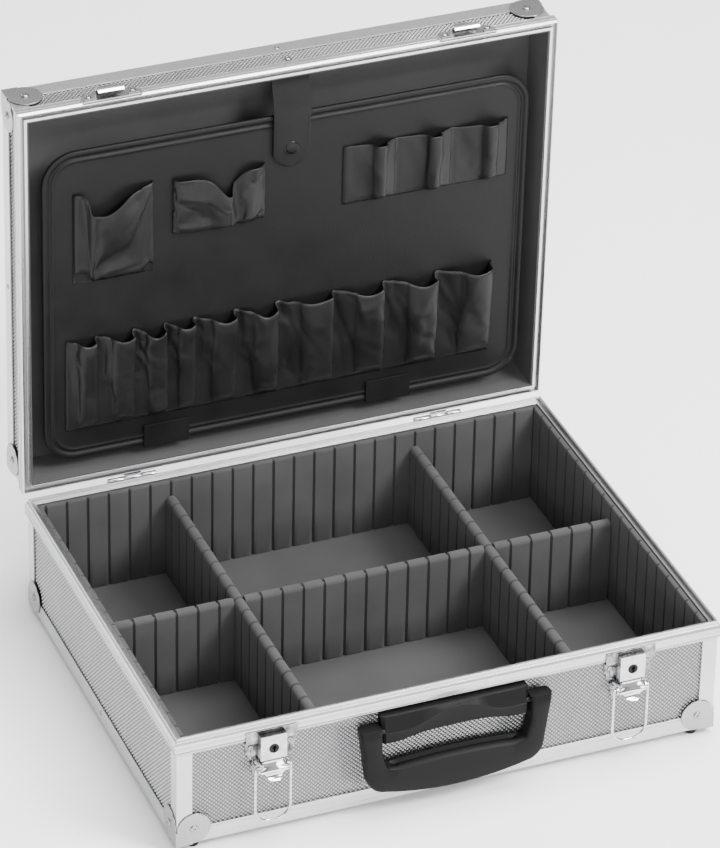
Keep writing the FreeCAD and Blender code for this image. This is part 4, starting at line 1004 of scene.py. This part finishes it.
# ---- latch levers
LEVER_HEIGHT = 66
LEVER_Y = -177.55
LEVER_TILT = math.radians(20)
LEVER_TURN = np.linspace(0, math.tau, 24, endpoint=False)
BOSS_HEIGHT = -6
BOSS = ((10.9, 2.3), (11.2, 2.8), (12.4, 2.8), (12.7, 2.4))
TUBE_RADIUS = 2.3
TUBE_STATIONS = (-8, -7.7, 7.7, 8)
LEVER_ROWS = [(0.6, 7.4, -1.1, 0.2), (-1.2, 7.5, -1.8, 0.6), (-2.8, 7.7, -2.5, 1.0),
              (-4.2, 8.3, -3.1, 1.3), (-5.3, 10.0, -3.5, 1.5), (-6.3, 11.3, -3.8, 1.6),
              (-7.5, 11.6, -4.0, 1.6), (-8.5, 11.1, -3.8, 1.5), (-9.2, 9.4, -3.1, 1.2),
              (-9.9, 8.1, -2.0, 0.9), (-11.0, 7.0, -1.2, 0.6), (-12.6, 6.0, -1.0, 0.5),
              (-14.0, 5.0, -1.3, 0.4), (-15.2, 4.2, -2.0, 0.3), (-16.2, 3.4, -3.0, 0.2)]


def lever(hand, x):
    """Pressed lever: flared sides reach to the bail, and its tongue is scooped and curled."""
    curve = through(LEVER_ROWS, 34)
    columns = np.linspace(-1, 1, 19)
    shape = Shape()
    front, back = [], []
    for z, half, y, scoop in curve:
        for store, gap in ((front, 0.0), (back, 1.0)):
            store.append([(half * u, y + gap + scoop * (1 - u * u), z) for u in columns])
    shape.loft([a + list(reversed(b)) for a, b in zip(front, back)])
    for side_x in (-1, 1):
        shape.loft([[(side_x * along, radius * math.cos(t), BOSS_HEIGHT + radius * math.sin(t))
                     for t in LEVER_TURN] for along, radius in BOSS])
    shape.loft([[(along, TUBE_RADIUS * math.cos(t), TUBE_RADIUS * math.sin(t))
                 for t in LEVER_TURN] for along in TUBE_STATIONS])
    turn = Matrix.Translation((x, LEVER_Y, LEVER_HEIGHT)) @ Matrix.Rotation(-LEVER_TILT, 4, "X")
    shape.piece(f"latch_{hand}_lever_pressing", CASE @ turn, f"lever_{hand}", PAINTED_LIGHT_CHROME, "chrome",
                replaces=(f"latch_{hand}_lever",), sharp=40)


for hand, x in LATCH_X.items():
    lever(hand, x)

# ---- strikes
STRIKE_LOW, STRIKE_HIGH = extent("lid_strikes", LID)
STRIKE_HALF = 24
STRIKE_TALL = STRIKE_HIGH[2] - STRIKE_LOW[2]
HOOK = [(1.0, 11.6), (3.4, 11.5), (5.6, 10.5), (6.9, 8.6), (7.2, 6.3), (6.8, 4.2), (5.8, 2.6),
        (4.8, 3.2), (5.6, 4.8), (6.0, 6.4), (5.7, 8.0), (4.8, 9.4), (3.2, 10.4), (1.0, 10.5)]
ROLL = [(1.9, 0.1), (2.5, 0.5), (2.7, 1.2), (2.5, 1.9), (1.9, 2.3), (1.0, 2.4), (1.0, 0.0)]
FLAP_HALF = 11
HOOK_HALF = 10.5
ROLL_STARTS, ROLL_LONG = (-22, 13), 9


def strike_plate(x):
    """Riveted plate with cut-off corners, and a rounded flap that rises behind its hook."""
    shape = Shape()
    outline = [(-STRIKE_HALF, 0), (STRIKE_HALF, 0), (STRIKE_HALF, 5.5),
               (STRIKE_HALF - 4, STRIKE_TALL), (4 - STRIKE_HALF, STRIKE_TALL),
               (-STRIKE_HALF, 5.5)]
    flap = [(FLAP_HALF * math.cos(t), 11.5 + 9 * math.sin(t)) for t in np.linspace(0, math.pi, 17)]
    flap += [(-FLAP_HALF, 8), (FLAP_HALF, 8)]
    for edge, levels in ((outline, ((0.0, 1.0), (0.9, 1.0), (1.2, 0.985))),
                         (flap, ((0.2, 1.0), (1.4, 1.0), (1.7, 0.975)))):
        shape.loft([[(x + u * share, STRIKE_HIGH[1] - out, STRIKE_LOW[2] + up * share)
                     for u, up in edge] for out, share in levels])
    return shape


def strike_hook(shape, x, low, high, profile):
    """A curled strip along x, its section given as (outward, upward) from the plate's foot."""
    shape.loft([[(x + u, STRIKE_HIGH[1] - out, STRIKE_LOW[2] + up) for out, up in profile]
                for u in (low, high)])


for hand, x in LATCH_X.items():
    strike_plate(x).piece(f"lid_strike_{hand}_plate", LID, "lid", CAP, "chrome",
                          replaces=("lid_strikes",), sharp=30)
    hooks = Shape()
    strike_hook(hooks, x, -HOOK_HALF, HOOK_HALF, HOOK)
    for low in ROLL_STARTS:
        strike_hook(hooks, x, low, low + ROLL_LONG, ROLL)
    # The hooks take the chrome copy with painted light.
    hooks.piece(f"lid_strike_{hand}_hook", LID, "lid", PAINTED_LIGHT_CHROME, "chrome",
                replaces=("lid_strikes",), sharp=40)

# ---- camera, floor and light
CAMERA_PLACE = Vector((-1.2831, -3.1014, 2.3761))
CAMERA_TURN, CAMERA_DROP, CAMERA_ROLL = (math.radians(a) for a in (22.45, 32.7, 1.23))
forward = Vector((math.sin(CAMERA_TURN) * math.cos(CAMERA_DROP),
                  math.cos(CAMERA_TURN) * math.cos(CAMERA_DROP), -math.sin(CAMERA_DROP)))
right = forward.cross(Vector((0, 0, 1))).normalized()
upward = right.cross(forward)
right, upward = (right * math.cos(CAMERA_ROLL) + upward * math.sin(CAMERA_ROLL),
                 upward * math.cos(CAMERA_ROLL) - right * math.sin(CAMERA_ROLL))
lens = bpy.data.cameras.new("camera")
lens.lens = 217.98
lens.sensor_width = 36
lens.clip_end = 50
camera = show("camera", lens)
camera.matrix_world = Matrix.Translation(CAMERA_PLACE) @ Matrix(
    (right, upward, -forward)).transposed().to_4x4()
bpy.context.scene.camera = camera

FLOOR_HALF = 6.0
FLOOR = plastic("studio_floor", (0.94, 0.94, 0.94), (0.95, 0.95, 0.95), 0.8, 40, 0.0001)
floor_mesh = bpy.data.meshes.new("studio_floor")
floor_mesh.from_pydata([(x * FLOOR_HALF, y * FLOOR_HALF, 0)
                        for x, y in ((-1, -1), (1, -1), (1, 1), (-1, 1))], [], [(0, 1, 2, 3)])
floor_mesh.materials.append(FLOOR)
floor = show("studio_floor", floor_mesh)


def softbox(name, spot, size, power):
    """A square area light that faces the middle of the case."""
    data = bpy.data.lights.new(name, "AREA")
    data.shape = "SQUARE"
    data.size = size
    data.energy = power
    lamp = show(name, data)
    lamp.location = spot
    lamp.rotation_euler = (Vector(MIDDLE) - Vector(spot)).to_track_quat("-Z", "Y").to_euler()


MIDDLE = (0, -0.02, 0.15)
softbox("key", (1.6, -1.7, 2.4), 1.1, 190)
softbox("fill", (-0.6, -2.95, 1.5), 1.8, 71)
softbox("top", (0.5, 0.2, 3.2), 2.0, 200)
softbox("back", (-1.0, 2.6, 1.9), 1.2, 22)
world = bpy.data.worlds.new("studio")
world.use_nodes = True
sky = world.node_tree
level = add(sky, "SeparateXYZ", [("Vector", add(sky, "TexCoord").outputs["Generated"])])
sky.links.new(ramp(sky, level.outputs["Z"], 0.22, 1.0, 0.05, 0.45),
              sky.nodes["Background"].inputs["Color"])
sky.nodes["Background"].inputs["Strength"].default_value = 0.72
bpy.context.scene.world = world
